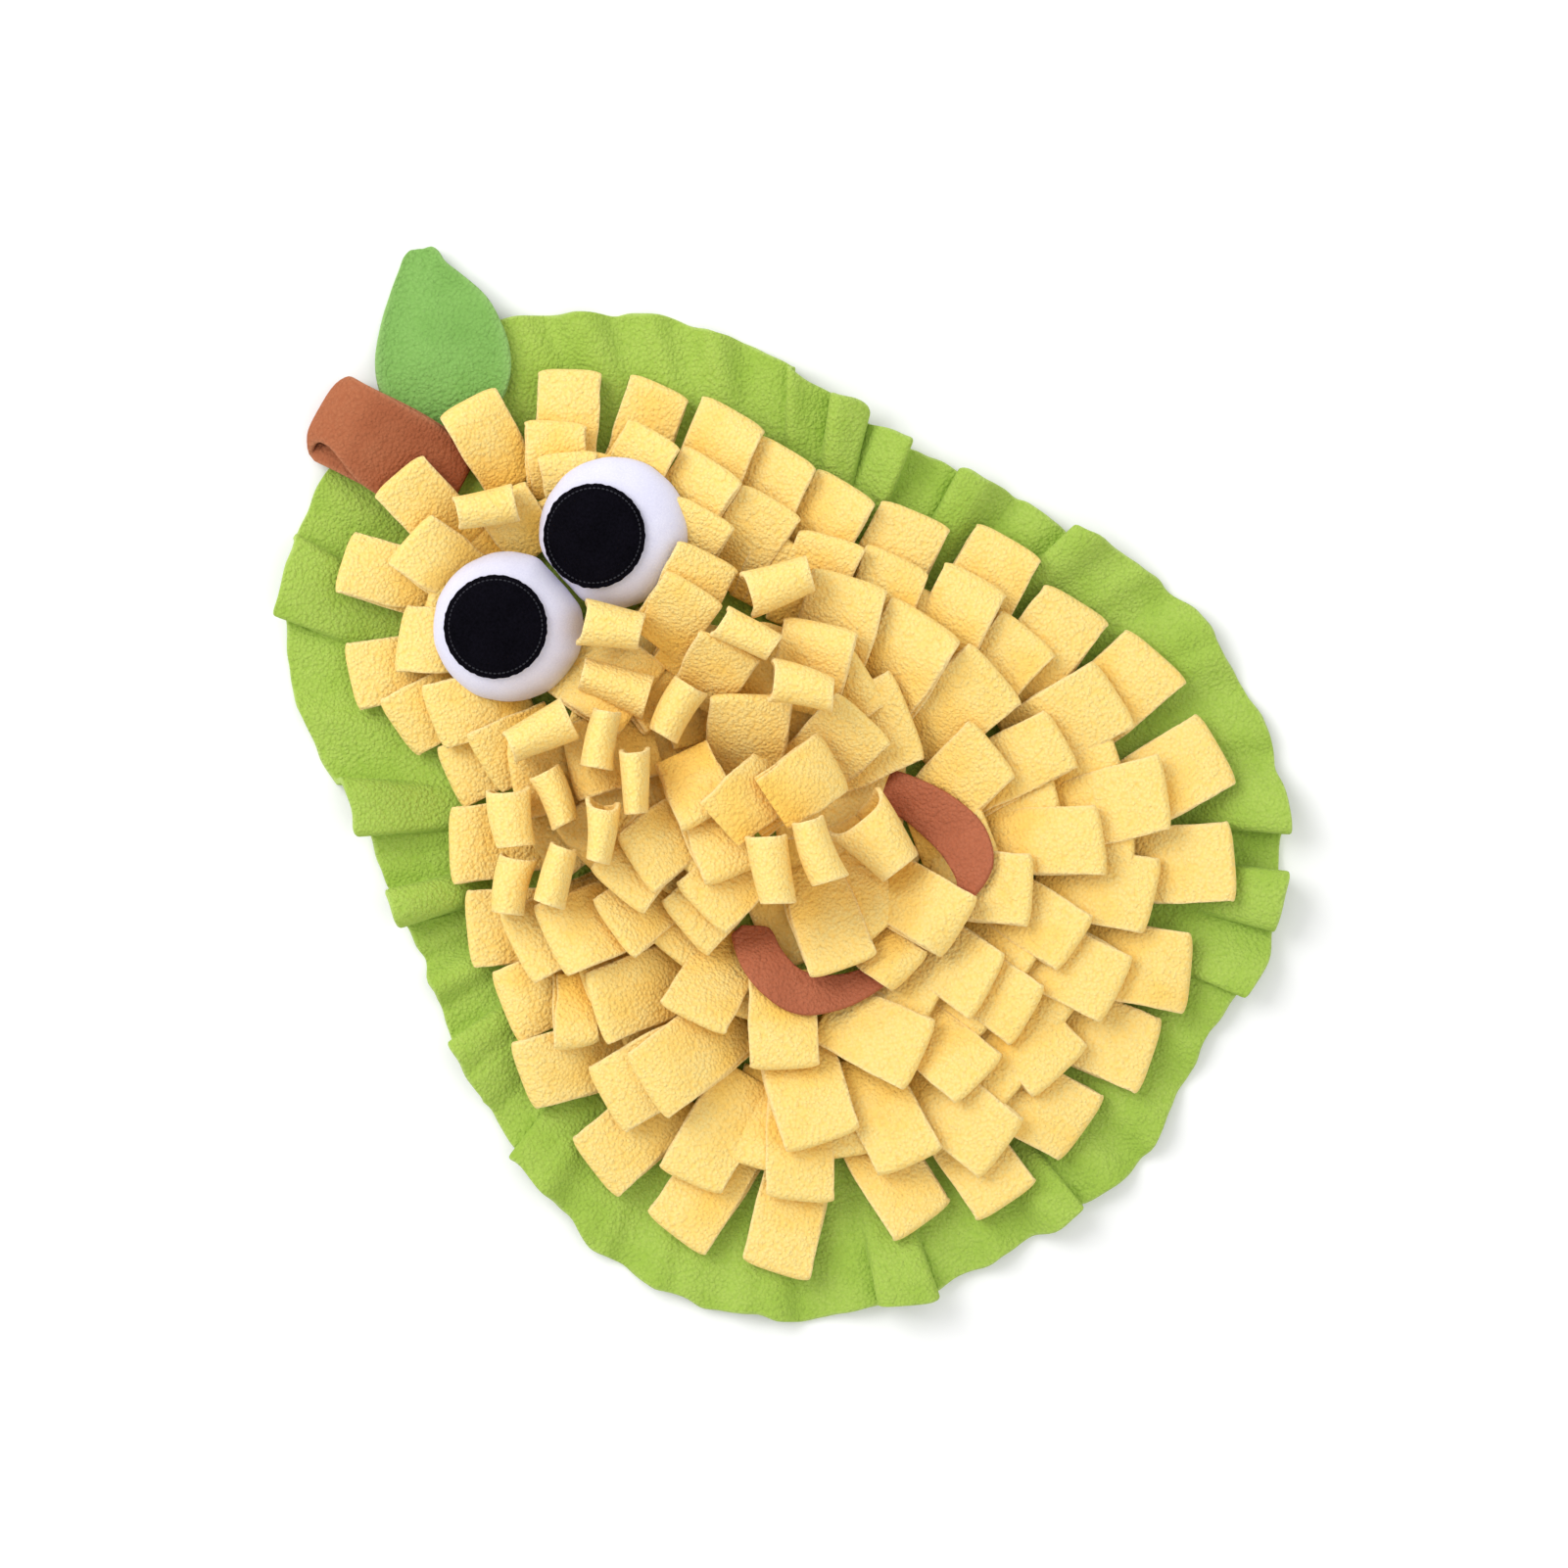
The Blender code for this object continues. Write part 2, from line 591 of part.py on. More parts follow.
def row_places(row):
    """Tip and heading of each tab of a row."""
    mean, _ = unit((row.heading0 + row.heading1) / 2)
    for i in range(row.tabs):
        t = i / (row.tabs - 1) if row.tabs > 1 else 0.0
        middle = 4 * t * (1 - t)
        tip = np.array((row.x0 + (row.x1 - row.x0) * t, row.y0 + (row.y1 - row.y0) * t))
        yield tip + mean * row.bow * middle, row.heading0 + (row.heading1 - row.heading0) * t + row.swing * middle


def build_rows(relief, name, rows, material, cloth=STRIP_CLOTH):
    """Rows that share a backing: each strip on its own, joined to the next one at the sewn roots only."""
    strips = [(row, tip, heading) for row in rows for tip, heading in row_places(row)]
    roots = [tip - unit(heading)[0] * row.reach for row, tip, heading in strips]
    links = []
    for a, b in zip(roots, roots[1:]):
        path = a + (b - a) * np.linspace(0, 1, 40)[:, None]
        links.append(relief.top(path[:, 0], path[:, 1], around=4).max())
    before = relief.grid.copy()
    bm = bmesh.new()
    rings = []
    for i, ((row, _, heading), root) in enumerate(zip(strips, roots)):
        least = max([0.0, *links[max(0, i - 1) : i + 1]])
        rings.append(lay_strip(bm, relief, root, heading, row, cloth, least))
        lay_ring(relief, rings[-1])
    for i in range(len(rings) - 1):
        _, left = unit(strips[i][2])
        sides = ("left", "right") if (roots[i + 1] - roots[i]) @ left > 0 else ("right", "left")
        band(bm, rings[i].end_quad(sides[0]), rings[i + 1].end_quad(sides[1]))
    for ring in rings:
        ring.skin(bm)
    relief.grid = before
    relief.settle(bm, beside=ROW_BESIDE)
    relief.lay(bm)
    return build_mesh(name, bm, material)


def build_table(relief, table, material):
    for name in dict.fromkeys(row.name for row in table):
        build_rows(relief, name, [row for row in table if row.name == name], material)


# ---- standing loops. They stand clear of each other in plan, and so share the relief of what is below them

KEEL = 0.3
LOOP_FLANK = ((KEEL, 0.1), (0.5, 0.5), (0.36, 0.87))
LOOP_OUTLINE = ((0, 0), *LOOP_FLANK, (0, 1), *((-s, z) for s, z in reversed(LOOP_FLANK)))


def stand_loop(bm, relief, loop, foot):
    """A loop standing on its narrow foot, with its flanks above what lies beside it."""
    fold, across = unit(loop.axis)
    centre = np.array((loop.x, loop.y))
    side = np.linspace(-0.5, 0.5, 45)[:, None]
    u = np.linspace(-0.5, 0.5, 45) * loop.length
    x = centre[0] + across[0] * side * loop.span + fold[0] * u
    y = centre[1] + across[1] * side * loop.span + fold[1] * u
    below = relief.top(x, y).max(axis=1) + AIR
    rise = 0.9 * loop.height
    spread = ((abs(side[:, 0]) - KEEL) / (0.5 - KEEL)).clip(0)
    shoulder = max((below - 0.44 * rise * spread).max(), foot + 0.1 * loop.height)
    foot = max(foot, below[abs(side[:, 0]) < 0.35 * KEEL].max())
    rise = max(rise, foot + loop.height - shoulder)
    outlines = []
    for hand in (0.5, -0.5):
        loops = []
        for cloth in (0.0, STRIP_CLOTH):
            points = []
            for i, (s, z) in enumerate(LOOP_OUTLINE):
                height = foot + cloth if i == 0 else shoulder + rise * (z - 0.1) / 0.9 + cloth * (1 - 2 * z)
                wide = loop.length * hand * (ROOT_PINCH if i == 0 else 0.8 if z < 0.2 else 1.0)
                points.append((*(centre + across * s * (loop.span - 2 * cloth) + fold * wide), height))
            loops.append(points)
        outlines.append(loops)
    return Ring(bm, outlines)


def build_loops(relief, group, material):
    """Loops that stand side by side, joined to the next one at their feet only."""
    loops = [loop for loop in LOOPS if loop.group == group]
    links = []
    for a, b in zip(loops, loops[1:]):
        t = np.linspace(0, 1, 30)
        links.append(relief.top(a.x + (b.x - a.x) * t, a.y + (b.y - a.y) * t, around=9).max() + AIR)
    bm = bmesh.new()
    rings = []
    for i, loop in enumerate(loops):
        rings.append(stand_loop(bm, relief, loop, max([0.0, *links[max(0, i - 1) : i + 1]])))
    for i, (a, b) in enumerate(zip(loops, loops[1:])):
        step = np.array((b.x - a.x, b.y - a.y))
        (fold_a, across_a), (fold_b, across_b) = unit(a.axis), unit(b.axis)
        near = rings[i].foot_quad(step @ across_a > 0, swapped=False)
        far = rings[i + 1].foot_quad(step @ across_b < 0, swapped=fold_a @ fold_b < 0)
        band(bm, near, far)
    for ring in rings:
        ring.skin(bm)
    relief.settle(bm, beside=LOOP_BESIDE)
    return build_mesh(group, bm, material)


# ---- sheets that lie over the rest: leaf and smile


def thick_sheet(name, grid, cloth, relief, material):
    """Closes a grid of points on a sheet's underside into a solid of the cloth's thickness."""
    bm = bmesh.new()
    under = [[bm.verts.new(p) for p in line] for line in grid]
    for a, b in zip(under, under[1:]):
        band(bm, a, b, closed=False)
    bmesh.ops.recalc_face_normals(bm, faces=bm.faces[:])
    bm.normal_update()
    if bm.faces[0].normal.z > 0:
        bmesh.ops.reverse_faces(bm, faces=bm.faces[:])
    lifted = bmesh.ops.extrude_face_region(bm, geom=bm.faces[:])
    raised = [v for v in lifted["geom"] if isinstance(v, bmesh.types.BMVert)]
    bmesh.ops.translate(bm, vec=(0, 0, cloth), verts=raised)
    for face in [f for f in bm.faces if f.normal.z < -0.5 and all(v in raised for v in f.verts)]:
        face.normal_flip()
    relief.lay(bm)
    return build_mesh(name, bm, material)


def build_leaf(relief):
    forward, left = unit(LEAF_HEADING)
    grid = []
    for along, half_left, half_right in LEAF_STATIONS:
        line = []
        for share in (1.0, 0.5, 0.0, -0.5, -1.0):
            half = half_left if share > 0 else half_right
            x, y = np.array((LEAF_ROOT_X, LEAF_ROOT_Y)) + forward * along + left * half * share
            line.append((x, y, float(relief.top(x, y, around=10)) + AIR))
        grid.append(line)
    heights = np.array([[p[2] for p in line] for line in grid])
    steps = np.array([s[0] for s in LEAF_STATIONS], float)
    fall = 0.22 * abs(steps[:, None] - steps[None, :])
    eased = (heights[None, :, :] - fall[:, :, None]).max(axis=1)
    grid = [[(x, y, z) for (x, y, _), z in zip(line, level)] for line, level in zip(grid, eased)]
    return thick_sheet("leaf", grid, LEAF_FELT, relief, fleece("leaf_felt", LEAF_GREEN))


def build_mouth(relief):
    grid = []
    for bearing, inner, outer in MOUTH_STATIONS:
        along, _ = unit(bearing)
        line = []
        for share in (0.0, 0.5, 1.0):
            radius = inner + (outer - inner) * share
            x, y = MOUTH_X + along[0] * radius, MOUTH_Y + along[1] * radius
            line.append((x, y, float(relief.top(x, y, around=12)) + AIR))
        grid.append(line)
    return thick_sheet("mouth", grid, MOUTH_FELT, relief, fleece("lip_felt", LIP))


# ---- stuffed eyes


def eye_radius(side, bearing):
    """An eye is round, but flattened where it presses on the other one."""
    towards = 176 if side == "right" else -4
    off = math.radians((bearing - towards + 180) % 360 - 180)
    flat = EYE_SQUEEZE / max(0.2, math.cos(off))
    return min(EYE_RADIUS, flat)


def dome(share):
    """Height of the crown above the eye's waist, as a share, at a share of its radius."""
    return math.sqrt(max(0.0, 1 - share**EYE_SQUARENESS))


def build_eye(relief, side, x, y):
    """A stuffed cushion: a small seat, drawn-in underside, and a crown that rises from its waist."""
    rings = [[] for _ in EYE_UNDER + EYE_OVER]
    for i in range(EYE_SEGMENTS):
        along, _ = unit(i * 360 / EYE_SEGMENTS)
        reach = eye_radius(side, i * 360 / EYE_SEGMENTS)

        def place(share):
            px, py = x + along[0] * reach * share, y + along[1] * reach * share
            return px, py, float(relief.top(px, py, around=8)) + AIR

        waist = max(BASE_CLOTH + EYE_WAIST, place(1.0)[2], place(0.9)[2])
        summit = BASE_CLOTH + EYE_WAIST + EYE_CROWN
        for ring, share in zip(rings, EYE_UNDER):
            px, py, rest = place(share)
            ring.append((px, py, max(rest, waist - EYE_WAIST * dome(share))))
        for ring, share in zip(rings[len(EYE_UNDER) :], EYE_OVER):
            px, py, _ = place(share)
            ring.append((px, py, waist + (summit - waist) * dome(share)))
    bm = bmesh.new()
    rings = [[bm.verts.new(p) for p in ring] for ring in rings]
    for ring, above in zip(rings, rings[1:]):
        band(bm, ring, above)
    bm.faces.new(rings[0])
    bm.faces.new(rings[-1])
    relief.lay(bm)
    return build_mesh(f"eye_{side}", bm, fleece("white_plush", PLUSH))


def build_pupil(relief, side, x, y):
    bm = bmesh.new()
    under = []
    for share in (0.12, 0.4, 0.65, 0.85, 1.0):
        ring = []
        for i in range(EYE_SEGMENTS):
            along, _ = unit(i * 360 / EYE_SEGMENTS)
            px, py = x + along[0] * PUPIL_RADIUS * share, y + along[1] * PUPIL_RADIUS * share
            ring.append((px, py, float(relief.top(px, py, around=2)) + AIR))
        under.append(ring)
    layers = [[[bm.verts.new((px, py, z + lift)) for px, py, z in ring] for ring in under] for lift in (0, PUPIL_FELT)]
    for layer in layers:
        for ring, outer in zip(layer, layer[1:]):
            band(bm, ring, outer)
        bm.faces.new(layer[0])
    band(bm, layers[0][-1], layers[1][-1])
    relief.lay(bm)
    return build_mesh(f"pupil_{side}", bm, fleece("black_felt", INK))


def main():
    clear_scene()
    relief = Relief()
    butter = fleece("butter_fleece", BUTTER)
    build_base(relief)
    build_leaf(relief)
    build_rows(relief, "stem", [STEM], fleece("bark_fleece", BARK), STEM_CLOTH)
    build_table(relief, ROWS_UNDER_EYES, butter)
    for side, x, y, pupil_x, pupil_y in EYES:
        build_eye(relief, side, x, y)
        build_pupil(relief, side, pupil_x, pupil_y)
    build_table(relief, ROWS_UNDER_MOUTH, butter)
    build_mouth(relief)
    build_table(relief, ROWS_OVER_MOUTH, butter)
    for group in dict.fromkeys(loop.group for loop in LOOPS):
        build_loops(relief, group, butter)


main()
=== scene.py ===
"""Snuffle mat in its cloth: fleece strips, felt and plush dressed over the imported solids.

Each sewn row, loop, felt shape and eye is built here at full detail and stands for the solid of its name. Pieces are
laid one over the other in the order of sewing, on a relief of what already lies there, as the solids are.

Lengths in the tables are millimetres and angles are degrees; finish_piece turns them into metres.
X runs across the pear, +Y to its stem and +Z up, and the origin lies on the floor under the middle of the mat.
"""

from __future__ import annotations

import logging
import math
import random
from dataclasses import dataclass, field
from enum import Enum
from typing import Iterator, NamedTuple, Sequence

import bmesh
import bpy
import numpy as np
from mathutils import Matrix, Vector
from mathutils.bvhtree import BVHTree


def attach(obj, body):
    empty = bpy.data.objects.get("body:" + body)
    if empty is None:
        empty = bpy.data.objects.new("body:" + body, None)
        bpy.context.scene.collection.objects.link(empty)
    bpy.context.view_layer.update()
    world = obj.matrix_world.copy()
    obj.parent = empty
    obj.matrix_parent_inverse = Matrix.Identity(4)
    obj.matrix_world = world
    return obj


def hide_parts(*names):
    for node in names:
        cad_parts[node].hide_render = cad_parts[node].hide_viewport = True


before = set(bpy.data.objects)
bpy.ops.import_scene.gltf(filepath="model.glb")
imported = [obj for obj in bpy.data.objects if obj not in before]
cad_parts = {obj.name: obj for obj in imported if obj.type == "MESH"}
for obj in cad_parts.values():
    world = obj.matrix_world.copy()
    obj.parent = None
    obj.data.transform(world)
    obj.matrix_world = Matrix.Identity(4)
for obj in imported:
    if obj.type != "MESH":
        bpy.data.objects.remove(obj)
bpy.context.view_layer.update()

LOG = logging.getLogger("snuffle_mat")
MM = 0.001
AIR = 0.35  # daylight between a cloth and what it lies on
SKY = 80.0  # height from which plumb lines are dropped

Array = np.ndarray
Colour = tuple[float, float, float]
Socket = bpy.types.NodeSocket
Piece = bpy.types.Object
Mesh = bmesh.types.BMesh


# ---- the finishes


class Coords(Enum):
    """What a pattern follows: the object's own space, or the cloth's thread through its UV map."""

    OBJECT = "Object"
    CLOTH = "UV"


class Shading:
    """Builds the nodes of one material."""

    def __init__(self, name: str) -> None:
        """Starts a material with its Principled shader.

        Args:
            name: the material's name.
        """
        self.material = bpy.data.materials.new(name)
        self.material.use_nodes = True
        self.tree = self.material.node_tree
        self.shader = self.tree.nodes["Principled BSDF"]
        self.source = self.tree.nodes.new("ShaderNodeTexCoord")

    def coords(self, kind: Coords, stretch: tuple[float, float, float] = (1, 1, 1)) -> Socket:
        """Texture coordinates in metres.

        Args:
            kind: what they follow.
            stretch: how they are scaled along each axis.

        Returns:
            The coordinates.
        """
        mapping = self.tree.nodes.new("ShaderNodeMapping")
        mapping.inputs["Scale"].default_value = stretch
        self.tree.links.new(self.source.outputs[kind.value], mapping.inputs["Vector"])
        return mapping.outputs["Vector"]

    def noise(self, vector: Socket, grain: float, detail: float = 2.0, roughness: float = 0.5) -> Socket:
        """Soft noise.

        Args:
            vector: where it is read.
            grain: the size of its blobs in millimetres.
            detail: how many finer layers it has.
            roughness: how strong the finer layers are.

        Returns:
            The noise's value, from 0 to 1.
        """
        node = self.tree.nodes.new("ShaderNodeTexNoise")
        node.inputs["Scale"].default_value = 1 / (grain * MM)
        node.inputs["Detail"].default_value = detail
        node.inputs["Roughness"].default_value = roughness
        self.tree.links.new(vector, node.inputs["Vector"])
        return node.outputs["Fac"]

    def pebbles(self, vector: Socket, grain: float) -> Socket:
        """Distance from the middle of the nearest tuft, as napped fleece balls up into them.

        Args:
            vector: where it is read.
            grain: the size of the tufts in millimetres.

        Returns:
            The distance, as a share of the tufts' size.
        """
        node = self.tree.nodes.new("ShaderNodeTexVoronoi")
        node.inputs["Scale"].default_value = 1 / (grain * MM)
        self.tree.links.new(vector, node.inputs["Vector"])
        return node.outputs["Distance"]

    def attribute(self, name: str) -> Socket:
        """A number painted on the mesh.

        Args:
            name: the attribute's name.

        Returns:
            The number.
        """
        node = self.tree.nodes.new("ShaderNodeAttribute")
        node.attribute_name = name
        return node.outputs["Fac"]

    def math(self, kind: str, *terms: Socket | float) -> Socket:
        """One arithmetic step, kept from 0 to 1.

        Args:
            kind: the step's name, such as ADD.
            terms: two sockets or numbers.

        Returns:
            The result.
        """
        node = self.tree.nodes.new("ShaderNodeMath")
        node.operation = kind
        node.use_clamp = True
        for term, socket in zip(terms, node.inputs):
            if isinstance(term, (int, float)):
                socket.default_value = term
            else:
                self.tree.links.new(term, socket)
        return node.outputs["Value"]

    def between(self, factor: Socket, low: Colour, high: Colour, start: float = 0.35, end: float = 0.65) -> Socket:
        """A colour ramp.

        Args:
            factor: what drives it.
            low: the colour up to the start.
            high: the colour from the end on.
            start: factor at which it leaves the low colour.
            end: factor at which it reaches the high one.

        Returns:
            The colour.
        """
        node = self.tree.nodes.new("ShaderNodeValToRGB")
        node.color_ramp.elements[0].position = start
        node.color_ramp.elements[0].color = (*low, 1)
        node.color_ramp.elements[1].position = end
        node.color_ramp.elements[1].color = (*high, 1)
        self.tree.links.new(factor, node.inputs["Fac"])
        return node.outputs["Color"]

    def mix(self, factor: Socket, a: Socket, b: Socket | Colour) -> Socket:
        """One colour going over to another.

        Args:
            factor: share of the second colour.
            a: the first colour.
            b: the second colour, as a socket or as numbers.

        Returns:
            The mixed colour.
        """
        node = self.tree.nodes.new("ShaderNodeMix")
        node.data_type = "RGBA"
        sockets = {socket.identifier: socket for socket in (*node.inputs, *node.outputs)}
        self.tree.links.new(factor, sockets["Factor_Float"])
        self.tree.links.new(a, sockets["A_Color"])
        if isinstance(b, tuple):
            sockets["B_Color"].default_value = (*b, 1)
        else:
            self.tree.links.new(b, sockets["B_Color"])
        return sockets["Result_Color"]

    def bump(self, height: Socket, depth: float, strength: float, under: Socket | None = None) -> Socket:
        """A bump, over another one where one is given.

        Args:
            height: the relief, from 0 to 1.
            depth: how high it stands in millimetres.
            strength: how strongly it shades.
            under: the normal of the bump below it.

        Returns:
            The normal.
        """
        node = self.tree.nodes.new("ShaderNodeBump")
        node.inputs["Distance"].default_value = depth * MM
        node.inputs["Strength"].default_value = strength
        self.tree.links.new(height, node.inputs["Height"])
        if under is not None:
            self.tree.links.new(under, node.inputs["Normal"])
        return node.outputs["Normal"]

    def finish(self, colour: Socket, normal: Socket, sheen: float, tint: Colour, glow: float) -> bpy.types.Material:
        """Joins colour and bump to a matt fabric shader.

        Args:
            colour: the pattern's colour.
            normal: the bumps' normal.
            sheen: how much the nap catches light at a slant.
            tint: the sheen's colour.
            glow: share of the light that passes through the pile.

        Returns:
            The finished material.
        """
        shader = self.shader.inputs
        self.tree.links.new(colour, shader["Base Color"])
        self.tree.links.new(normal, shader["Normal"])
        shader["Roughness"].default_value = 0.95
        shader["Specular IOR Level"].default_value = 0.04
        shader["Sheen Weight"].default_value = sheen
        shader["Sheen Roughness"].default_value = 0.55
        shader["Sheen Tint"].default_value = (*tint, 1)
        shader["Subsurface Weight"].default_value = glow
        shader["Subsurface Radius"].default_value = (1.0, 0.6, 0.3)
        shader["Subsurface Scale"].default_value = 1.6 * MM
        return self.material


@dataclass(frozen=True)
class Fleece:
    """Napped polar fleece. Each strip carries a tint, its own tone plus painted shade, and a cut attribute that is 1
    at its cut edges.
    """

    slot: str
    colour: Colour
    shade: Colour  # painted shade in the tufts' hollows and towards seams and feet; also the darker random patches
    edge: Colour  # loose pile along a cut edge
    tuft: float = 1.15  # size of the balled tufts
    pile: float = 0.55  # depth of the bumps
    sheen: float = 0.25
    glow: float = 0.0
    rib: float = 1.3  # width of the ribs along the cloth
    fibre: float = 0.45  # size of the loose fibres
    patch: float = 14.0  # size of the lighter and darker patches
    hollows: float = 0.75  # how strongly the painted shade shows between the tufts
    fray: float = 0.6  # how strongly the edge colour shows at a cut

    def material(self) -> bpy.types.Material:
        """The fleece's nodes: patches, painted shade from the tint and in the tufts' hollows, tufts, ribs along the
        cloth, and a paler cut edge.

        Returns:
            The material, which all pieces of this fleece share.
        """
        name = f"{self.slot}_nap"
        if name in bpy.data.materials:
            return bpy.data.materials[name]
        nodes = Shading(name)
        place = nodes.coords(Coords.OBJECT)
        ribs = nodes.noise(nodes.coords(Coords.CLOTH, (0.3, 1.0, 1.0)), self.rib, 0.0)
        tufts = nodes.pebbles(place, self.tuft)
        fibres = nodes.noise(place, self.fibre, 1.0)
        patches = nodes.noise(place, self.patch, 1.0)
        # The tint adds painted shade, darker and more orange towards a tab's seam or a loop's foot, to the random
        # patches.
        tone_and_shade = nodes.math("ADD", patches, nodes.attribute("tint"))
        colour = nodes.between(tone_and_shade, self.shade, self.colour, 0.1, 0.55)
        # Painted shade in the hollows between the tufts.
        colour = nodes.mix(nodes.math("MULTIPLY", tufts, self.hollows), colour, self.shade)
        colour = nodes.mix(nodes.math("MULTIPLY", nodes.attribute("cut"), self.fray), colour, self.edge)
        normal = nodes.bump(ribs, 0.4, 0.2)
        normal = nodes.bump(tufts, -self.pile, 1.0, normal)
        normal = nodes.bump(fibres, 0.4, 0.7, normal)
        return nodes.finish(colour, normal, self.sheen, self.edge, self.glow)


@dataclass(frozen=True)
class Felt:
    """Dense felt with short matted fibres."""

    slot: str
    colour: Colour
    fleck: Colour
    fibre: float = 0.7  # size of the flecks
    depth: float = 0.35  # depth of the bumps
    sheen: float = 0.25
    glow: float = 0.05
    patch: float = 9.0  # size of the lighter and darker patches

    def material(self) -> bpy.types.Material:
        """The felt's nodes: flecks of paler fibre over soft patches.

        Returns:
            The material, which all pieces of this felt share.
        """
        name = f"{self.slot}_nap"
        if name in bpy.data.materials:
            return bpy.data.materials[name]
        nodes = Shading(name)
        place = nodes.coords(Coords.OBJECT)
        flecks = nodes.noise(place, self.fibre, 4.0, 0.7)
        patches = nodes.noise(place, self.patch, 2.0)
        matted = nodes.math("ADD", flecks, nodes.math("MULTIPLY", patches, 0.35))
        colour = nodes.between(matted, self.colour, self.fleck, 0.5, 0.85)
        normal = nodes.bump(patches, 0.5, 0.4)
        normal = nodes.bump(flecks, self.depth, 0.8, normal)
        return nodes.finish(colour, normal, self.sheen, self.fleck, self.glow)


# Each fleece's second colour is painted shade, also taken by its darker random patches; the third is the paler cut
# edge.
LIME = Fleece("lime_fleece", (0.435, 0.59, 0.115), (0.31, 0.475, 0.06), (0.54, 0.67, 0.24))
BUTTER = Fleece("butter_fleece", (0.98, 0.775, 0.30), (0.99, 0.62, 0.125), (0.99, 0.81, 0.43))
BARK = Fleece("bark_fleece", (0.445, 0.158, 0.074), (0.35, 0.104, 0.046), (0.55, 0.24, 0.13), sheen=0.1)
LEAF = Fleece("leaf_felt", (0.25, 0.475, 0.12), (0.18, 0.375, 0.08), (0.36, 0.56, 0.21), sheen=0.15)
LIP = Fleece("lip_felt", (0.50, 0.165, 0.085), (0.40, 0.12, 0.06), (0.60, 0.28, 0.17), sheen=0.08)
PLUSH = Felt("white_plush", (0.68, 0.67, 0.82), (0.76, 0.75, 0.88), fibre=0.6, depth=0.2, sheen=0.3, glow=0.0)
INK = Felt("black_felt", (0.0012, 0.001, 0.002), (0.0042, 0.0036, 0.0068), fibre=0.8, depth=0.4, sheen=0.0, glow=0.0)
THREAD = Felt(
    "black_felt_thread", (0.02, 0.02, 0.026), (0.045, 0.045, 0.055), fibre=0.3, depth=0.1, sheen=0.1, glow=0.0
)


# ---- helpers for cloth in the plane


def unit(angle: float) -> tuple[Array, Array]:
    """A direction in the plane.

    Args:
        angle: its heading in degrees.

    Returns:
        The direction, and the one to its left.
    """
    turn = math.radians(angle)
    along = np.array((math.cos(turn), math.sin(turn)))
    return along, np.array((-along[1], along[0]))


def ease(t: Array | float) -> Array | float:
    """0 to 1 with a soft start and end."""
    t = np.clip(t, 0.0, 1.0)
    return t * t * (3 - 2 * t)


def through(xs: Sequence[float], ys: Sequence[float], at: Array) -> Array:
    """A smooth curve through a few points.

    Args:
        xs: the points' places, rising.
        ys: the points' values.
        at: where the curve is read.

    Returns:
        The curve's values there.
    """
    x, y = np.asarray(xs, float), np.asarray(ys, float)
    slope = np.gradient(y, x)
    i = np.clip(np.searchsorted(x, at, side="right") - 1, 0, len(x) - 2)
    step = x[i + 1] - x[i]
    t = np.clip((at - x[i]) / step, 0, 1)
    a, b = 2 * t**3 - 3 * t**2 + 1, t**3 - 2 * t**2 + t
    return a * y[i] + b * step * slope[i] + (1 - a) * y[i + 1] + (t**3 - t**2) * step * slope[i + 1]


def wander(seed: str, x: Array, wave: float) -> Array:
    """A slow random line between -1 and 1.

    Args:
        seed: names the line, which is the same at each run.
        x: where it is read.
        wave: its shortest wavelength.

    Returns:
        The line's values there.
    """
    dice = random.Random(seed)
    total = np.zeros(np.shape(x))
    for k in (1.0, 1.7, 2.9):
        total = total + np.sin(np.asarray(x) * 2 * math.pi / (wave * k) + dice.uniform(0, 6.3)) / 3
    return total


class Relief:
    """The height of everything laid so far, on a grid over the mat, so that the next piece can lie on it."""

    CELL = 0.5
    HALF_X, HALF_Y = 150.0, 195.0

    def __init__(self) -> None:
        """Starts with a bare floor."""
        shape = (int(2 * self.HALF_X / self.CELL), int(2 * self.HALF_Y / self.CELL))
        self.grid = np.zeros(shape)

    def cells(self, x: Array | float, y: Array | float) -> tuple[Array, Array]:
        """Grid places of points.

        Args:
            x: their places across.
            y: their places along.

        Returns:
            The column and the line of each.
        """
        column = np.floor((np.asarray(x) + self.HALF_X) / self.CELL).astype(int)
        line = np.floor((np.asarray(y) + self.HALF_Y) / self.CELL).astype(int)
        return column.clip(0, self.grid.shape[0] - 1), line.clip(0, self.grid.shape[1] - 1)

    def lay(self, surface: Array, half: float) -> None:
        """Raises the grid to the top of a cloth.

        Args:
            surface: the cloth's middle layer, as rows of points.
            half: half its thickness.
        """
        fine = densify(surface, 0.4)
        np.maximum.at(self.grid, self.cells(fine[..., 0].ravel(), fine[..., 1].ravel()), fine[..., 2].ravel() + half)

    def top(self, x: Array, y: Array, around: int = 1) -> Array:
        """The greatest height near each point.

        Args:
            x: their places across.
            y: their places along.
            around: how many cells to each side count as near.

        Returns:
            The height near each.
        """
        column, line = self.cells(x, y)
        tops = np.zeros(np.shape(column))
        for i in range(-around, around + 1):
            for j in range(-around, around + 1):
                a = (column + i).clip(0, self.grid.shape[0] - 1)
                b = (line + j).clip(0, self.grid.shape[1] - 1)
                tops = np.maximum(tops, self.grid[a, b])
        return tops


def densify(surface: Array, step: float) -> Array:
    """A grid of points made finer.

    Args:
        surface: rows of points.
        step: how far apart they may lie, about.

    Returns:
        The finer grid, which holds the old points too.
    """
    fine = surface
    for axis in (0, 1):
        longest = np.linalg.norm(np.diff(fine, axis=axis), axis=2).max()
        count = fine.shape[axis]
        times = max(1, math.ceil(longest / step))
        at = np.linspace(0, count - 1, (count - 1) * times + 1)
        low = np.floor(at).astype(int).clip(0, count - 2)
        share = (at - low)[:, None] if axis == 0 else (at - low)[None, :]
        fine = np.take(fine, low, axis) * (1 - share[..., None]) + np.take(fine, low + 1, axis) * share[..., None]
    return fine


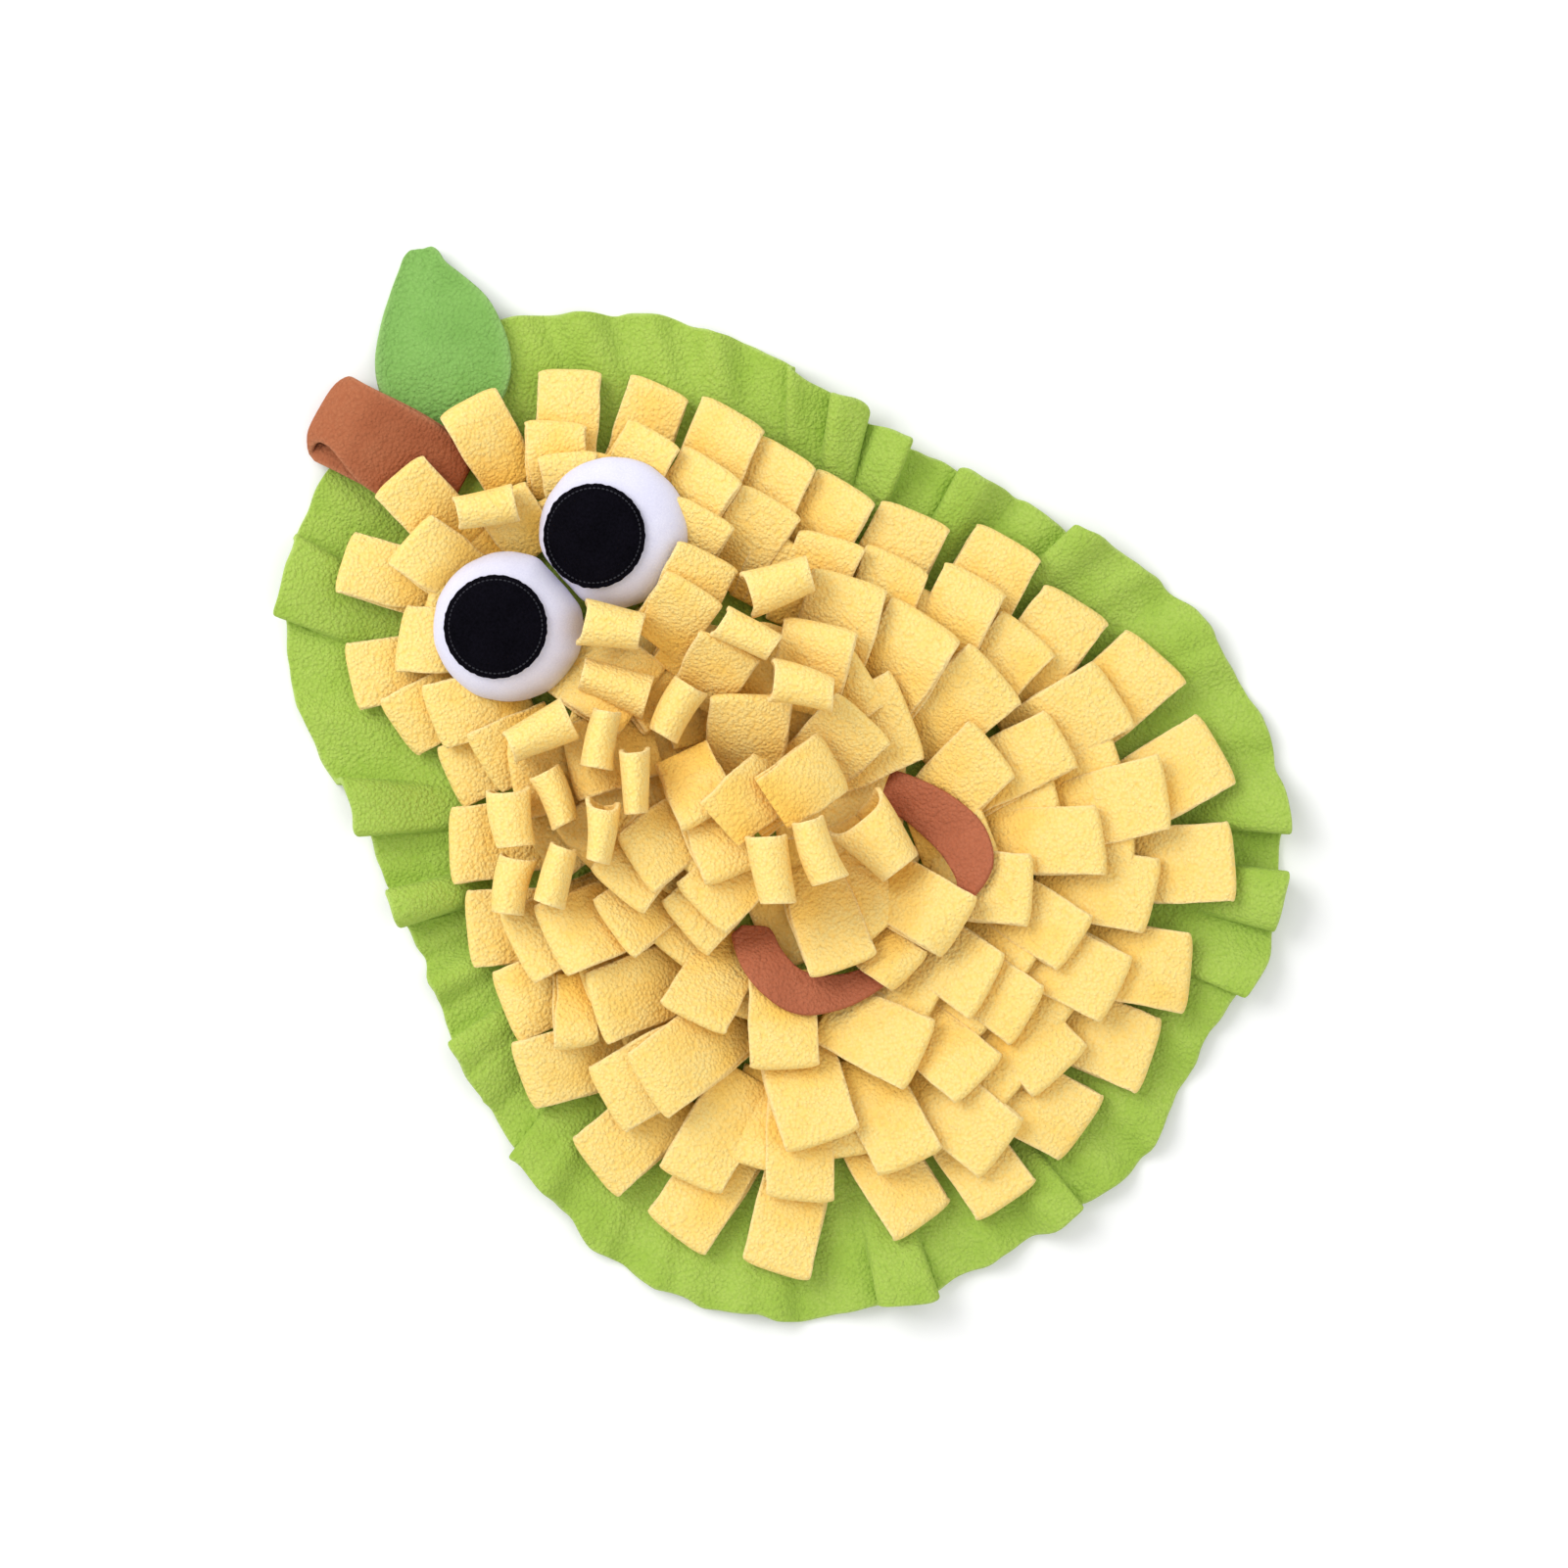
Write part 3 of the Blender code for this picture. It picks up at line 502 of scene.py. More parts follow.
def pull_over(along: Array, bed: Array) -> Array:
    """The height of cloth pulled over a bed: it spans the hollows and rounds off over what stands up.

    Args:
        along: places along the cloth, rising.
        bed: the bed's height at each.

    Returns:
        The cloth's height at each.
    """
    hull: list[int] = []
    for i in range(len(along)):
        while len(hull) > 1:
            a, b = hull[-2], hull[-1]
            chord = bed[a] + (bed[i] - bed[a]) * (along[b] - along[a]) / (along[i] - along[a])
            if bed[b] > chord:
                break
            hull.pop()
        hull.append(i)
    tight = np.interp(along, along[hull], bed[hull])
    soft = np.convolve(np.pad(tight, 3, mode="edge"), np.array((1, 2, 3, 4, 3, 2, 1)) / 16, mode="valid")
    return soft + (tight - soft).clip(0).max() * 0.6


# ---- meshes


def cloth_grid(bm: Mesh, surface: Array, marks: dict[str, Array], size: tuple[float, float]) -> None:
    """Adds a cloth to a bmesh as one grid, with its UV map and its painted numbers.

    Args:
        bm: the mesh, in millimetres, with layers for the marks.
        surface: the cloth's middle layer, as rows of points.
        marks: number painted on each point, by attribute name.
        size: the cloth's flat length and width in millimetres, which the UV map keeps.
    """
    rows, columns = surface.shape[:2]
    made = bmesh.ops.create_grid(bm, x_segments=rows - 1, y_segments=columns - 1, size=0.5)
    verts = made["verts"]
    flat = np.array([v.co[:2] for v in verts])
    line = np.rint((flat[:, 0] + 0.5) * (rows - 1)).astype(int)
    post = np.rint((flat[:, 1] + 0.5) * (columns - 1)).astype(int)
    layers = {name: bm.verts.layers.float[name] for name in marks}
    uv = bm.loops.layers.uv["cloth"]
    place = {}
    for vert, i, j in zip(verts, line, post):
        vert.co = surface[i, j]
        place[vert] = (i / (rows - 1) * size[0] * MM, j / (columns - 1) * size[1] * MM)
        for name, layer in layers.items():
            vert[layer] = float(marks[name][i, j])
    for face in {face for vert in verts for face in vert.link_faces}:
        for loop in face.loops:
            loop[uv].uv = place[loop.vert]


def nested_rings(bm: Mesh, segments: int, count: int) -> list[list[bmesh.types.BMVert]]:
    """Adds rings of vertices, each extruded inwards from the one before, with the last one filled.

    Args:
        bm: an empty mesh.
        segments: vertices in each ring.
        count: how many rings.

    Returns:
        The rings from the outside in, with their vertices in the same order.
    """
    rows = [bmesh.ops.create_circle(bm, cap_ends=False, segments=segments, radius=1.0)["verts"]]
    edges = bm.edges[:]
    for i in range(1, count):
        grown = bmesh.ops.extrude_edge_only(bm, edges=edges)["geom"]
        fresh = {part for part in grown if isinstance(part, bmesh.types.BMVert)}
        edges = [part for part in grown if isinstance(part, bmesh.types.BMEdge) and fresh.issuperset(part.verts)]
        inward = ([e.other_vert(v) for e in v.link_edges if e.other_vert(v) in fresh] for v in rows[-1])
        rows.append([found[0] for found in inward])
        bmesh.ops.scale(bm, vec=(1 - i / (count + 1),) * 3, verts=rows[-1])
    middle = bmesh.ops.contextual_create(bm, geom=edges)["faces"]
    bmesh.ops.triangulate(bm, faces=middle)
    bmesh.ops.recalc_face_normals(bm, faces=bm.faces[:])
    if bm.faces[0].normal.z < 0:
        bmesh.ops.reverse_faces(bm, faces=bm.faces[:])
    return rows


def new_cloth() -> Mesh:
    """An empty mesh with the layers that cloth_grid paints.

    Returns:
        The mesh.
    """
    bm = bmesh.new()
    bm.loops.layers.uv.new("cloth")
    for name in ("tint", "cut"):
        bm.verts.layers.float.new(name)
    return bm


def finish_piece(bm: Mesh, name: str, finish: Fleece | Felt, nodes: Sequence[str]) -> Piece:
    """Turns a bmesh in millimetres into a piece in metres that stands for its solids.

    Args:
        bm: the mesh, which is used up.
        name: the piece's name.
        finish: what it is made of.
        nodes: the solids that it stands for.

    Returns:
        The piece, riding on the mat.
    """
    bmesh.ops.scale(bm, vec=(MM, MM, MM), verts=bm.verts[:])
    mesh = bpy.data.meshes.new(name)
    bm.to_mesh(mesh)
    bm.free()
    piece = bpy.data.objects.new(name, mesh)
    bpy.context.scene.collection.objects.link(piece)
    mesh.materials.append(finish.material())
    mesh.shade_smooth()
    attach(piece, "root")
    if nodes:
        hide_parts(*nodes)
    return piece


def soften(piece: Piece) -> None:
    """Rounds a piece off by one subdivision."""
    soft = piece.modifiers.new("soft_edges", "SUBSURF")
    soft.levels = soft.render_levels = 1


def thicken(piece: Piece, cloth: float) -> None:
    """Gives a sheet its thickness, half to each side, and soft edges.

    Args:
        piece: the sheet.
        cloth: its thickness in millimetres.
    """
    solid = piece.modifiers.new("thickness", "SOLIDIFY")
    solid.thickness = cloth * MM
    solid.offset = 0.0
    soften(piece)


# ---- the green base


class Over(Enum):
    """Which side of a gathered fold lies on top."""

    NEITHER = 0
    LEFT = 1
    RIGHT = -1


class Fold(NamedTuple):
    """A fold of the gathered rim."""

    bearing: float
    over: Over
    span: float
    lift: float
    jut: float


L, R, N = Over.LEFT, Over.RIGHT, Over.NEITHER
RIM_RADII = (
    124, 119, 122, 139, 158, 171, 172, 168, 153, 128, 119, 119,
    127, 138, 152, 157, 157, 155, 157, 152, 158, 157, 150, 138,
)
RIM_FOLDS = (
    Fold(84, N, 4.5, 2.5, 0.5),
    Fold(69, N, 3.0, 4.5, 0.5),
    Fold(62, N, 3.5, 5.0, 1.5),
    Fold(55, N, 4.0, 4.0, 0.0),
    Fold(48, N, 3.0, 2.5, 0.5),
    Fold(42, R, 5.5, 5.0, 2.5),
    Fold(36, R, 3.5, 5.0, 2.0),
    Fold(31, L, 3.5, 5.5, 2.5),
    Fold(24, L, 4.5, 5.5, 3.0),
    Fold(15, R, 5.5, 6.5, 3.5),
    Fold(6, N, 4.0, 2.5, 0.0),
    Fold(-3, R, 6.5, 6.0, 3.0),
    Fold(-17, N, 5.0, 3.5, 0.5),
    Fold(-30, N, 5.0, 3.5, 1.0),
    Fold(-40, N, 3.5, 2.5, 0.5),
    Fold(-48, L, 5.0, 6.0, 3.0),
    Fold(-53, R, 3.5, 6.0, 2.5),
    Fold(-59, L, 4.5, 5.5, 3.0),
    Fold(-67, L, 5.5, 6.5, 4.0),
    Fold(-79, N, 5.5, 2.5, 0.0),
    Fold(-90, N, 4.0, 2.0, 0.5),
    Fold(-98, R, 5.0, 6.0, 3.5),
    Fold(-104, N, 2.5, 5.0, 3.0),
    Fold(-111, N, 3.0, 2.5, 0.0),
    Fold(-117, R, 4.5, 5.5, 2.5),
    Fold(-123, L, 4.0, 5.0, 1.5),
    Fold(-132, N, 3.0, 5.5, -1.5),
    Fold(-142, N, 4.0, 2.5, 0.5),
    Fold(-153, N, 6.0, 3.0, 0.5),
    Fold(-163, N, 4.0, 2.5, 0.0),
    Fold(-172, L, 6.0, 6.0, 4.0),
    Fold(171, L, 6.0, 6.5, 4.0),
    Fold(159, N, 4.0, 4.0, 0.5),
    Fold(152, R, 3.0, 7.5, 2.5),
    Fold(147, L, 3.0, 8.0, 3.5),
    Fold(138, R, 3.2, 8.5, 3.0),
    Fold(131, L, 3.2, 8.0, 3.0),
    Fold(121, N, 4.0, 3.5, 0.5),
    Fold(113, R, 5.0, 6.0, 3.5),
    Fold(105, L, 5.0, 5.0, 2.5),
    Fold(96, N, 3.5, 2.5, 0.5),
)


@dataclass
class Base:
    """The green cloth that all is sewn on: flat in the middle, gathered and ruffled at its rim."""

    relief: Relief
    centre: tuple[float, float] = (0.0, -20.0)
    gather: float = 38.0  # how far in the ruffles reach
    lift: float = 4.0
    cloth: float = 2.2
    valley: float = 1.3  # how much deeper the cloth's soft valleys are than the solid's
    jut: float = 0.42  # how much of a fold's outward push shows
    wall: float = 1.2  # half of a fold's turned edge, in degrees
    tuck: float = 1.5  # how far a fold laps over its neighbour, in degrees
    insets: tuple[float, ...] = (0, 0.8, 2.5, 5, 8.5, 12.5, 17, 22, 27.5, 34, 42, 60, 90)
    flat: tuple[float, float] = (0.29, 0.38)  # its cloth let out flat, in metres
    area: float = 0.082

    def radius(self, bearing: Array) -> Array:
        """The smooth pear outline.

        Args:
            bearing: directions from the middle in degrees.

        Returns:
            How far the outline lies from the middle in each.
        """
        place = (bearing % 360) / 15.0
        i, t = np.floor(place).astype(int), place % 1
        radii = np.array(RIM_RADII, float)
        a, b, c, d = (radii[(i + k) % len(radii)] for k in (-1, 0, 1, 2))
        return b + 0.5 * t * (c - a + t * (2 * a - 5 * b + 4 * c - d + t * (3 * (b - c) + d - a)))

    def bearings(self) -> Array:
        """Bearings all round, closer together at each turned edge.

        Returns:
            The bearings, rising.
        """
        even = np.arange(-180, 180, 1.1)
        edges = [f.bearing for f in RIM_FOLDS if f.over is not N]
        near = [e + d for e in edges for d in (-2.2, -1.5, -0.95, -0.6, -0.3, 0, 0.3, 0.6, 0.95, 1.5, 2.2)]
        clear = [b for b in even if min(abs((b - e + 180) % 360 - 180) for e in edges) > 2.7]
        return np.array(sorted(near + clear))

    def shape(self, bearings: Array) -> tuple[Array, Array, Array]:
        """How the folds move the rim.

        Args:
            bearings: directions from the middle in degrees.

        Returns:
            How far each is lifted, pushed outwards, and turned sideways.
        """
        lift = self.lift + 2.6 * wander("rim lift", bearings, 8.0) + 1.5 * wander("rim ripple", bearings, 3.4)
        jut = 1.7 * wander("rim jut", bearings, 8.0) + 0.7 * wander("rim notch", bearings, 2.8)
        turn = np.zeros(len(bearings))
        for fold in RIM_FOLDS:
            off = (bearings - fold.bearing + 180) % 360 - 180
            if fold.over is N:
                height = -self.valley * np.exp(-2.2 * (off / (0.7 * fold.span)) ** 2)
            else:
                off = off * fold.over.value
                far = 0.5 + 0.5 * np.cos(np.pi * np.clip((abs(off) - self.wall) / (1.6 * fold.span), 0, 1))
                rise = -0.35 + 1.35 * ease((off + self.wall) / (2 * self.wall))
                height = np.where(off >= self.wall, far, np.where(off > -self.wall, rise, -0.35 * far))
                lap = -np.clip(off / self.wall, -1, 1) * np.exp(-((off / 2.6) ** 2))
                turn += fold.over.value * self.tuck * lap
            lift = lift + fold.lift * height
            jut = jut + self.jut * fold.jut * height
        return lift.clip(0.0), jut, turn

    def build(self) -> Piece:
        """Builds the base ring by ring from its rim inwards, and lays it in the relief.

        Returns:
            The base.
        """
        bearings = self.bearings()
        lift, jut, turn = self.shape(bearings)
        bm = new_cloth()
        rows = nested_rings(bm, len(bearings), len(self.insets))
        surface = np.zeros((len(self.insets), len(bearings) + 1, 3))
        cut = bm.verts.layers.float["cut"]
        for i, (inset, row) in enumerate(zip(self.insets, rows)):
            depth = float(ease(1 - inset / self.gather))
            fanned = bearings + turn * depth
            radius = self.radius(bearings) - inset + jut * depth
            radius = radius + 0.5 * wander(f"pucker {i}", bearings, 4.0)
            turns = np.radians(fanned)
            x = self.centre[0] + radius * np.cos(turns)
            y = self.centre[1] + radius * np.sin(turns)
            z = self.cloth / 2 + lift * depth
            surface[i, :-1] = np.stack((x, y, z), axis=1)
            surface[i, -1] = surface[i, 0]
            for vert, place in zip(row, surface[i]):
                vert.co = place
                vert[cut] = 0.8 if i == 0 else 0.0
        self.relief.lay(surface, self.cloth / 2)
        self.relief.grid[self.inside()] = np.maximum(self.relief.grid[self.inside()], self.cloth)
        piece = finish_piece(bm, "base_cloth", LIME, ["base"])
        thicken(piece, self.cloth)
        return piece

    def inside(self) -> Array:
        """The relief's cells within the flat middle.

        Returns:
            True for each cell that lies there.
        """
        x = (np.arange(self.relief.grid.shape[0]) + 0.5) * Relief.CELL - Relief.HALF_X
        y = (np.arange(self.relief.grid.shape[1]) + 0.5) * Relief.CELL - Relief.HALF_Y
        dx, dy = x[:, None] - self.centre[0], y[None, :] - self.centre[1]
        return np.hypot(dx, dy) < self.radius(np.degrees(np.arctan2(dy, dx))) - self.gather


# ---- folded strips


class Habit(NamedTuple):
    """How one strip strays from a neat fold."""

    skew: float  # how far the left end of the nose is drawn back
    slip: float  # how far the top layer has turned off the lower one at the root
    bend: float  # sideways curve towards the tip
    crown: float  # how far the top layer bellies up between its sides
    flare: float  # extra width at the nose, as a share
    tint: float


def habit_of(seed: str) -> Habit:
    """A strip's own habit, the same at each run.

    Args:
        seed: names the strip.

    Returns:
        The habit.
    """
    dice = random.Random(seed)
    return Habit(
        skew=dice.uniform(-1.3, 1.3),
        slip=dice.uniform(-1.6, 1.6),
        bend=dice.uniform(-0.9, 0.9),
        crown=dice.uniform(0.3, 1.2),
        flare=dice.uniform(-0.02, 0.05),
        tint=dice.uniform(-0.12, 0.12),
    )


class Lay(Enum):
    """When a row is sewn down."""

    UNDER_EYES = 0
    UNDER_MOUTH = 1
    OVER_MOUTH = 2


class Row(NamedTuple):
    """A sewn row of tabs: tips and headings of its first and last tab, the rest spread evenly between."""

    name: str
    tabs: int
    x0: float
    y0: float
    heading0: float
    x1: float
    y1: float
    heading1: float
    bow: float  # how far the middle tab stands out past the line of the ends
    swing: float  # how far the middle tab turns from the mean heading
    width: float
    reach: float  # from sewn root to tip
    loft: float  # daylight between its two layers near the fold

    def places(self) -> Iterator[tuple[Array, float]]:
        """Tip and heading of each tab.

        Yields:
            The two, tab by tab.
        """
        mean, _ = unit((self.heading0 + self.heading1) / 2)
        for i in range(self.tabs):
            t = i / (self.tabs - 1) if self.tabs > 1 else 0.0
            middle = 4 * t * (1 - t)
            tip = np.array((self.x0 + (self.x1 - self.x0) * t, self.y0 + (self.y1 - self.y0) * t))
            turn = self.heading0 + (self.heading1 - self.heading0) * t + self.swing * middle
            yield tip + mean * self.bow * middle, turn


def single(name: str, x: float, y: float, heading: float, width: float, reach: float, loft: float) -> Row:
    """A row of one tab."""
    return Row(name, 1, x, y, heading, x, y, heading, 0, 0, width, reach, loft)


ROWS = {
    Lay.UNDER_EYES: (
        Row("rim_1", 3, 24, 134, 72, -38, 127, 116, 2.5, -8, 19, 26, 1.8),
        Row("rim_2", 3, -62, 101, 142, -64, 56, 166, 1, 8, 20, 26, 1.8),
        Row("rim_2", 3, -78, 42, 142, -102, -5, 160, 3, -11, 23, 27, 1.8),
        Row("rim_4", 2, -113, -23, 150, -118, -59, 176, 0, 0, 22, 33, 2),
        Row("rim_4", 2, -115, -91, 190, -101, -121, 212, 0, 0, 21.5, 34, 2),
        Row("rim_6", 2, -58, -143, 258, -35, -157, 262, 0, 0, 21, 33, 2),
        Row("rim_6", 3, -4, -158, -76, 54, -147, -54, 5, -3, 24, 33, 2.1),
        Row("rim_8", 3, 87, -133, -44, 117, -71, -2, 8, 7, 24, 33, 2.1),
        Row("rim_8", 3, 111, -42, 10, 96, 11, 16, 6.5, 3, 23, 33, 2),
        Row("rim_10", 3, 87, 33, 16, 79, 73, 20, -1, -2, 21, 31, 1.8),
        Row("rim_10", 2, 69, 95, 24, 52, 119, 44, 0, 0, 19, 26, 1.8),
        single("second_10", -94, -29, -133, 13, 19, 3.1),
        Row("second_1", 3, -26, -144, -88, 34, -135, -74, 1, -11, 22.5, 33, 2),
        Row("second_1", 3, 62, -123, -58, 99, -71, -18, 9.5, 6, 23, 33, 2),
        Row("second_3", 3, 94, -38, 4, 82, 6, 24, 6.5, 6, 20.5, 31, 1.8),
        Row("second_3", 3, 72, 25, 22, 63, 66, 12, 0, -5, 20.5, 27, 1.8),
        Row("second_5", 2, 57, 85, 12, 38, 110, 44, 0, 0, 18, 20, 1.7),
        Row("second_6", 2, -19, 117, 98, -43, 98, 130, 0, 0, 20, 21, 1.7),
        Row("second_7", 2, -54, 73, 152, -53, 52, 162, 0, 0, 20, 22, 1.7),
        Row("second_8", 3, -86, 6, 160, -100, -46, 164, -12, -8, 23, 31, 2),
        Row("second_9", 3, -100, -82, 194, -48, -127, 252, 8.5, 1, 21, 34, 2),
        Row("third_1", 3, -15, -124, -86, 35, -116, -78, 1, 4, 20, 31, 1.8),
        Row("third_2", 2, 64, -99, -44, 78, -68, -16, 0, 0, 20.5, 31, 1.8),
        Row("third_3", 3, 78, -40, -6, 67, 12, 28, 2.5, 3, 24, 31, 2),
        single("third_4", 51, 57, 12, 19, 20, 1.7),
        Row("third_5", 2, 34, 100, 52, 9, 107, 80, 0, 0, 18, 18, 1.5),
        single("third_6", -77, 0, 156, 23.5, 31, 2),
        single("third_7", -88, -52, 170, 23.5, 33, 2),
        single("third_8", -62, -103, -118, 24, 33, 2),
        Row("fourth_1", 2, -60, 22, 172, -50, 42, 148, 0, 0, 24, 28, 1.8),
        Row("fourth_2", 2, -36, 10, 190, -34, 34, 150, 0, 0, 24, 24, 1.8),
        single("fourth_3", 16, 34, 60, 24, 26, 1.8),
    ),
    Lay.UNDER_MOUTH: (
        Row("inner_1", 2, -22, -106, -72, 8, -106, -78, 0, 0, 22.5, 29, 2),
        Row("inner_2", 2, 38, -94, -48, 61, -56, -2, 0, 0, 21.5, 27, 2),
        Row("inner_3", 2, 50, -12, -10, 51, 8, 30, 0, 0, 22, 24, 2),
        single("inner_4", 42, 47, 14, 20, 20, 1.8),
        Row("inner_5", 2, 32, 43, 7, 27, 24, 14, 0, 0, 19.5, 18, 2.8),
        Row("inner_6", 3, -61, -12, 174, -54, -79, 228, 6.5, -7, 21, 26, 2),
    ),
    Lay.OVER_MOUTH: (
        single("middle_1", -6, -86, -80, 16, 19, 1.8),
        Row("middle_2", 2, 14.5, -87, -74, -20, -70, -116, 0, 0, 21, 30, 2),
        single("middle_3", 40, -21, -2, 22.5, 22, 2),
        Row("middle_5", 2, -52, -4, 186, -46, -27, 180, 0, 0, 21, 24, 1.8),
        Row("middle_6", 2, -42, -2, 172, -38, -26, 176, 0, 0, 21, 20, 1.8),
        single("middle_7", -22, -27, -110, 19, 22, 2),
        single("middle_4", 20, 9, 40, 25, 22, 2.4),
        single("middle_8", -15, -9, -110, 19, 18, 2.2),
        Row("middle_9", 2, 9, -14, -4, 24, -24, -12, 0, 0, 19.5, 20, 2.4),
    ),
}
# Tips, headings, widths and reaches of strips deeper in the pile, which show as yellow between the tabs of a row.
# Their number and places are guessed.
DEEPER = {
    "rim_1": ((-4, 108, 95, 26, 12),),
    "fourth_3": ((8, 54, 80, 30, 30), (30, 28, 35, 28, 30), (-10, 60, 100, 28, 26)),
    "fourth_2": ((-18, 46, 112, 28, 32), (-52, 10, 175, 28, 34), (-22, -6, 200, 26, 24)),
    "inner_1": ((-24, -62, -115, 28, 34), (8, -66, -80, 30, 34)),
    "inner_2": ((32, -46, -45, 30, 36), (50, -30, -20, 28, 34)),
    "inner_3": ((44, 10, 20, 28, 34),),
}
STEM = single("stem", -10.6, 165.1, 106, 28, 46.2, 7.0)


@dataclass
class Tab:
    """A strip of fleece folded double, sewn down at its ends and lying with its fold outward."""

    tip: Array
    heading: float
    width: float
    reach: float
    loft: float
    habit: Habit
    cloth: float = 1.5
    corner: float = 1.5  # how far its corners draw back
    hollow: float = 0.0  # how far the top layer draws back from the left side at the nose, which shows its hollow
    back: float = 4.0  # how far the cloth reaches behind its seam
    front: float = 3.0
    pinch: float = 0.92  # width at the seam, as a share
    full: float = 0.33  # share of the reach by which it has its full width
    climb: float = 0.8
    lean: float = 0.3
    posts: tuple[float, ...] = (-0.5, -0.46, -0.36, -0.2, 0.0, 0.2, 0.36, 0.46, 0.5)

    @property
    def root(self) -> Array:
        """Where it is sewn down."""
        return self.tip - unit(self.heading)[0] * self.reach

    def width_at(self, along: Array) -> Array:
        """Its width: gathered at its root, full further out, and a little more at the nose.

        Args:
            along: distances from the seam.

        Returns:
            The width at each.
        """
        grown = np.clip((np.asarray(along) - self.front) / (self.full * self.reach - self.front), 0, 1)
        nose = np.clip(np.asarray(along) / self.reach, 0, 1) ** 3
        return self.width * (self.pinch + (1 - self.pinch) * ease(grown)) * (1 + self.habit.flare * nose)

    def bed(self, relief: Relief, least: float) -> tuple[Array, Array, Array]:
        """What its edges have to stay above.

        Args:
            relief: what already lies there.
            least: height that its seam has to keep.

        Returns:
            Places along it, and the heights under its left and its right edge.
        """
        forward, left = unit(self.heading)
        along = np.arange(-self.back - 0.5, self.reach + 1.0, 1.0)
        across = np.linspace(-0.5, 0.5, 21)
        wide = self.width_at(along)[:, None] + 0.8
        x = self.root[0] + forward[0] * along[:, None] + left[0] * across * wide
        y = self.root[1] + forward[1] * along[:, None] + left[1] * across * wide
        below = relief.top(x, y)
        sewn = along <= self.front + 1
        below[sewn] = np.maximum(below[sewn], least)
        right_edge, left_edge = below[:, :9].max(axis=1), below[:, 12:].max(axis=1)
        lean = self.lean * self.width
        right_edge, left_edge = np.maximum(right_edge, left_edge - lean), np.maximum(left_edge, right_edge - lean)
        straight = right_edge[:, None] + (left_edge - right_edge)[:, None] * (across + 0.5)
        proud = (below - straight).max(axis=1).clip(0)
        fall = self.climb * abs(along[:, None] - along[None, :])
        eased = [(edge + proud - fall).max(axis=1) for edge in (left_edge, right_edge)]
        return along, pull_over(along, eased[0]), pull_over(along, eased[1])

    def surface(self, relief: Relief, least: float) -> Array:
        """The cloth's middle layer, from the seam along the lower layer, round the nose and back on top.

        Args:
            relief: what already lies there.
            least: height that its seam has to keep.

        Returns:
            Rows of points.
        """
        along, left_bed, right_bed = self.bed(relief, least)
        gap = self.loft
        nose = (gap + self.cloth) / 2
        end = self.reach - nose - self.cloth / 2
        lower = np.linspace(-self.back, end, 9)
        turn = np.linspace(0, math.pi, 8)[1:-1]
        upper = np.linspace(end, -self.back, 11)
        s = np.concatenate((lower, end + nose * np.sin(turn), upper))
        layer = np.concatenate((np.zeros(9), (1 - np.cos(turn)) / 2, np.ones(11)))
        open_by = 0.4 + (gap - 0.4) * ease(s / end) ** 0.8
        rise = layer * (self.cloth + open_by)
        posts = np.array(self.posts)[None, :]
        base = np.minimum(s, end)[:, None]
        beds = [np.interp(np.minimum(s, end), along, bed)[:, None] for bed in (right_bed, left_bed)]
        slopes = [np.interp(end, along, bed) - np.interp(end - 2, along, bed) for bed in (right_bed, left_bed)]
        floor = beds[0] + (beds[1] - beds[0]) * (posts + 0.5)
        tilt = (slopes[0] + (slopes[1] - slopes[0]) * (posts + 0.5)) / 2
        height = floor + AIR + self.cloth / 2 + rise[:, None] + tilt * (s[:, None] - base)
        belly = (1 - (2 * posts) ** 2) * (layer * np.sin(np.pi * np.clip(s / self.reach, 0, 1)) ** 0.7)[:, None]
        height = height + self.habit.crown * belly
        reach = np.clip(s / self.reach, 0, 1)[:, None]
        corner = self.corner * abs(2 * posts) ** 6 * reach**6
        forward, left = unit(self.heading)
        go = s[:, None] - self.habit.skew * posts * 2 * reach**2 - corner
        aside = posts * self.width_at(s)[:, None] + self.habit.bend * reach**2
        aside = aside + self.habit.slip * (layer[:, None] - 0.5) * (1 - reach)
        aside = aside - self.hollow * ease(2 * posts) * layer[:, None] * ease((reach - 0.45) / 0.4)
        seed = f"{self.tip[0]:.1f} {self.tip[1]:.1f}"
        ripple = wander(seed, s + 40 * layer, 9.0)[:, None] * abs(2 * posts) ** 4
        aside = aside + 0.3 * ripple * np.sign(posts)
        height = height + layer[:, None] * 0.25 * wander(seed + "z", s[:, None] * 0.8 + posts * self.width, 11.0)
        x = self.root[0] + forward[0] * go + left[0] * aside
        y = self.root[1] + forward[1] * go + left[1] * aside
        return np.stack(np.broadcast_arrays(x, y, height), axis=2)

    def marks(self, surface: Array) -> dict[str, Array]:
        """Its tint, its own tone with painted shade that grows towards the seam, and its cut edges at both sides.

        Args:
            surface: the cloth's middle layer.

        Returns:
            The painted numbers by name.
        """
        shape = surface.shape[:2]
        cut = np.broadcast_to((abs(2 * np.array(self.posts)) ** 24)[None, :], shape)
        share = (surface[..., :2] - self.root) @ unit(self.heading)[0] / self.reach
        # Painted shade: the tint falls towards the seam, so the colour turns darker and more orange there.
        return {"tint": self.habit.tint + 0.5 * (share.clip(0, 1) - 0.6), "cut": cut}

    @property
    def cut(self) -> tuple[float, float]:
        """Flat length and width of the strip before it is folded."""
        return 2 * (self.reach + self.back), self.width


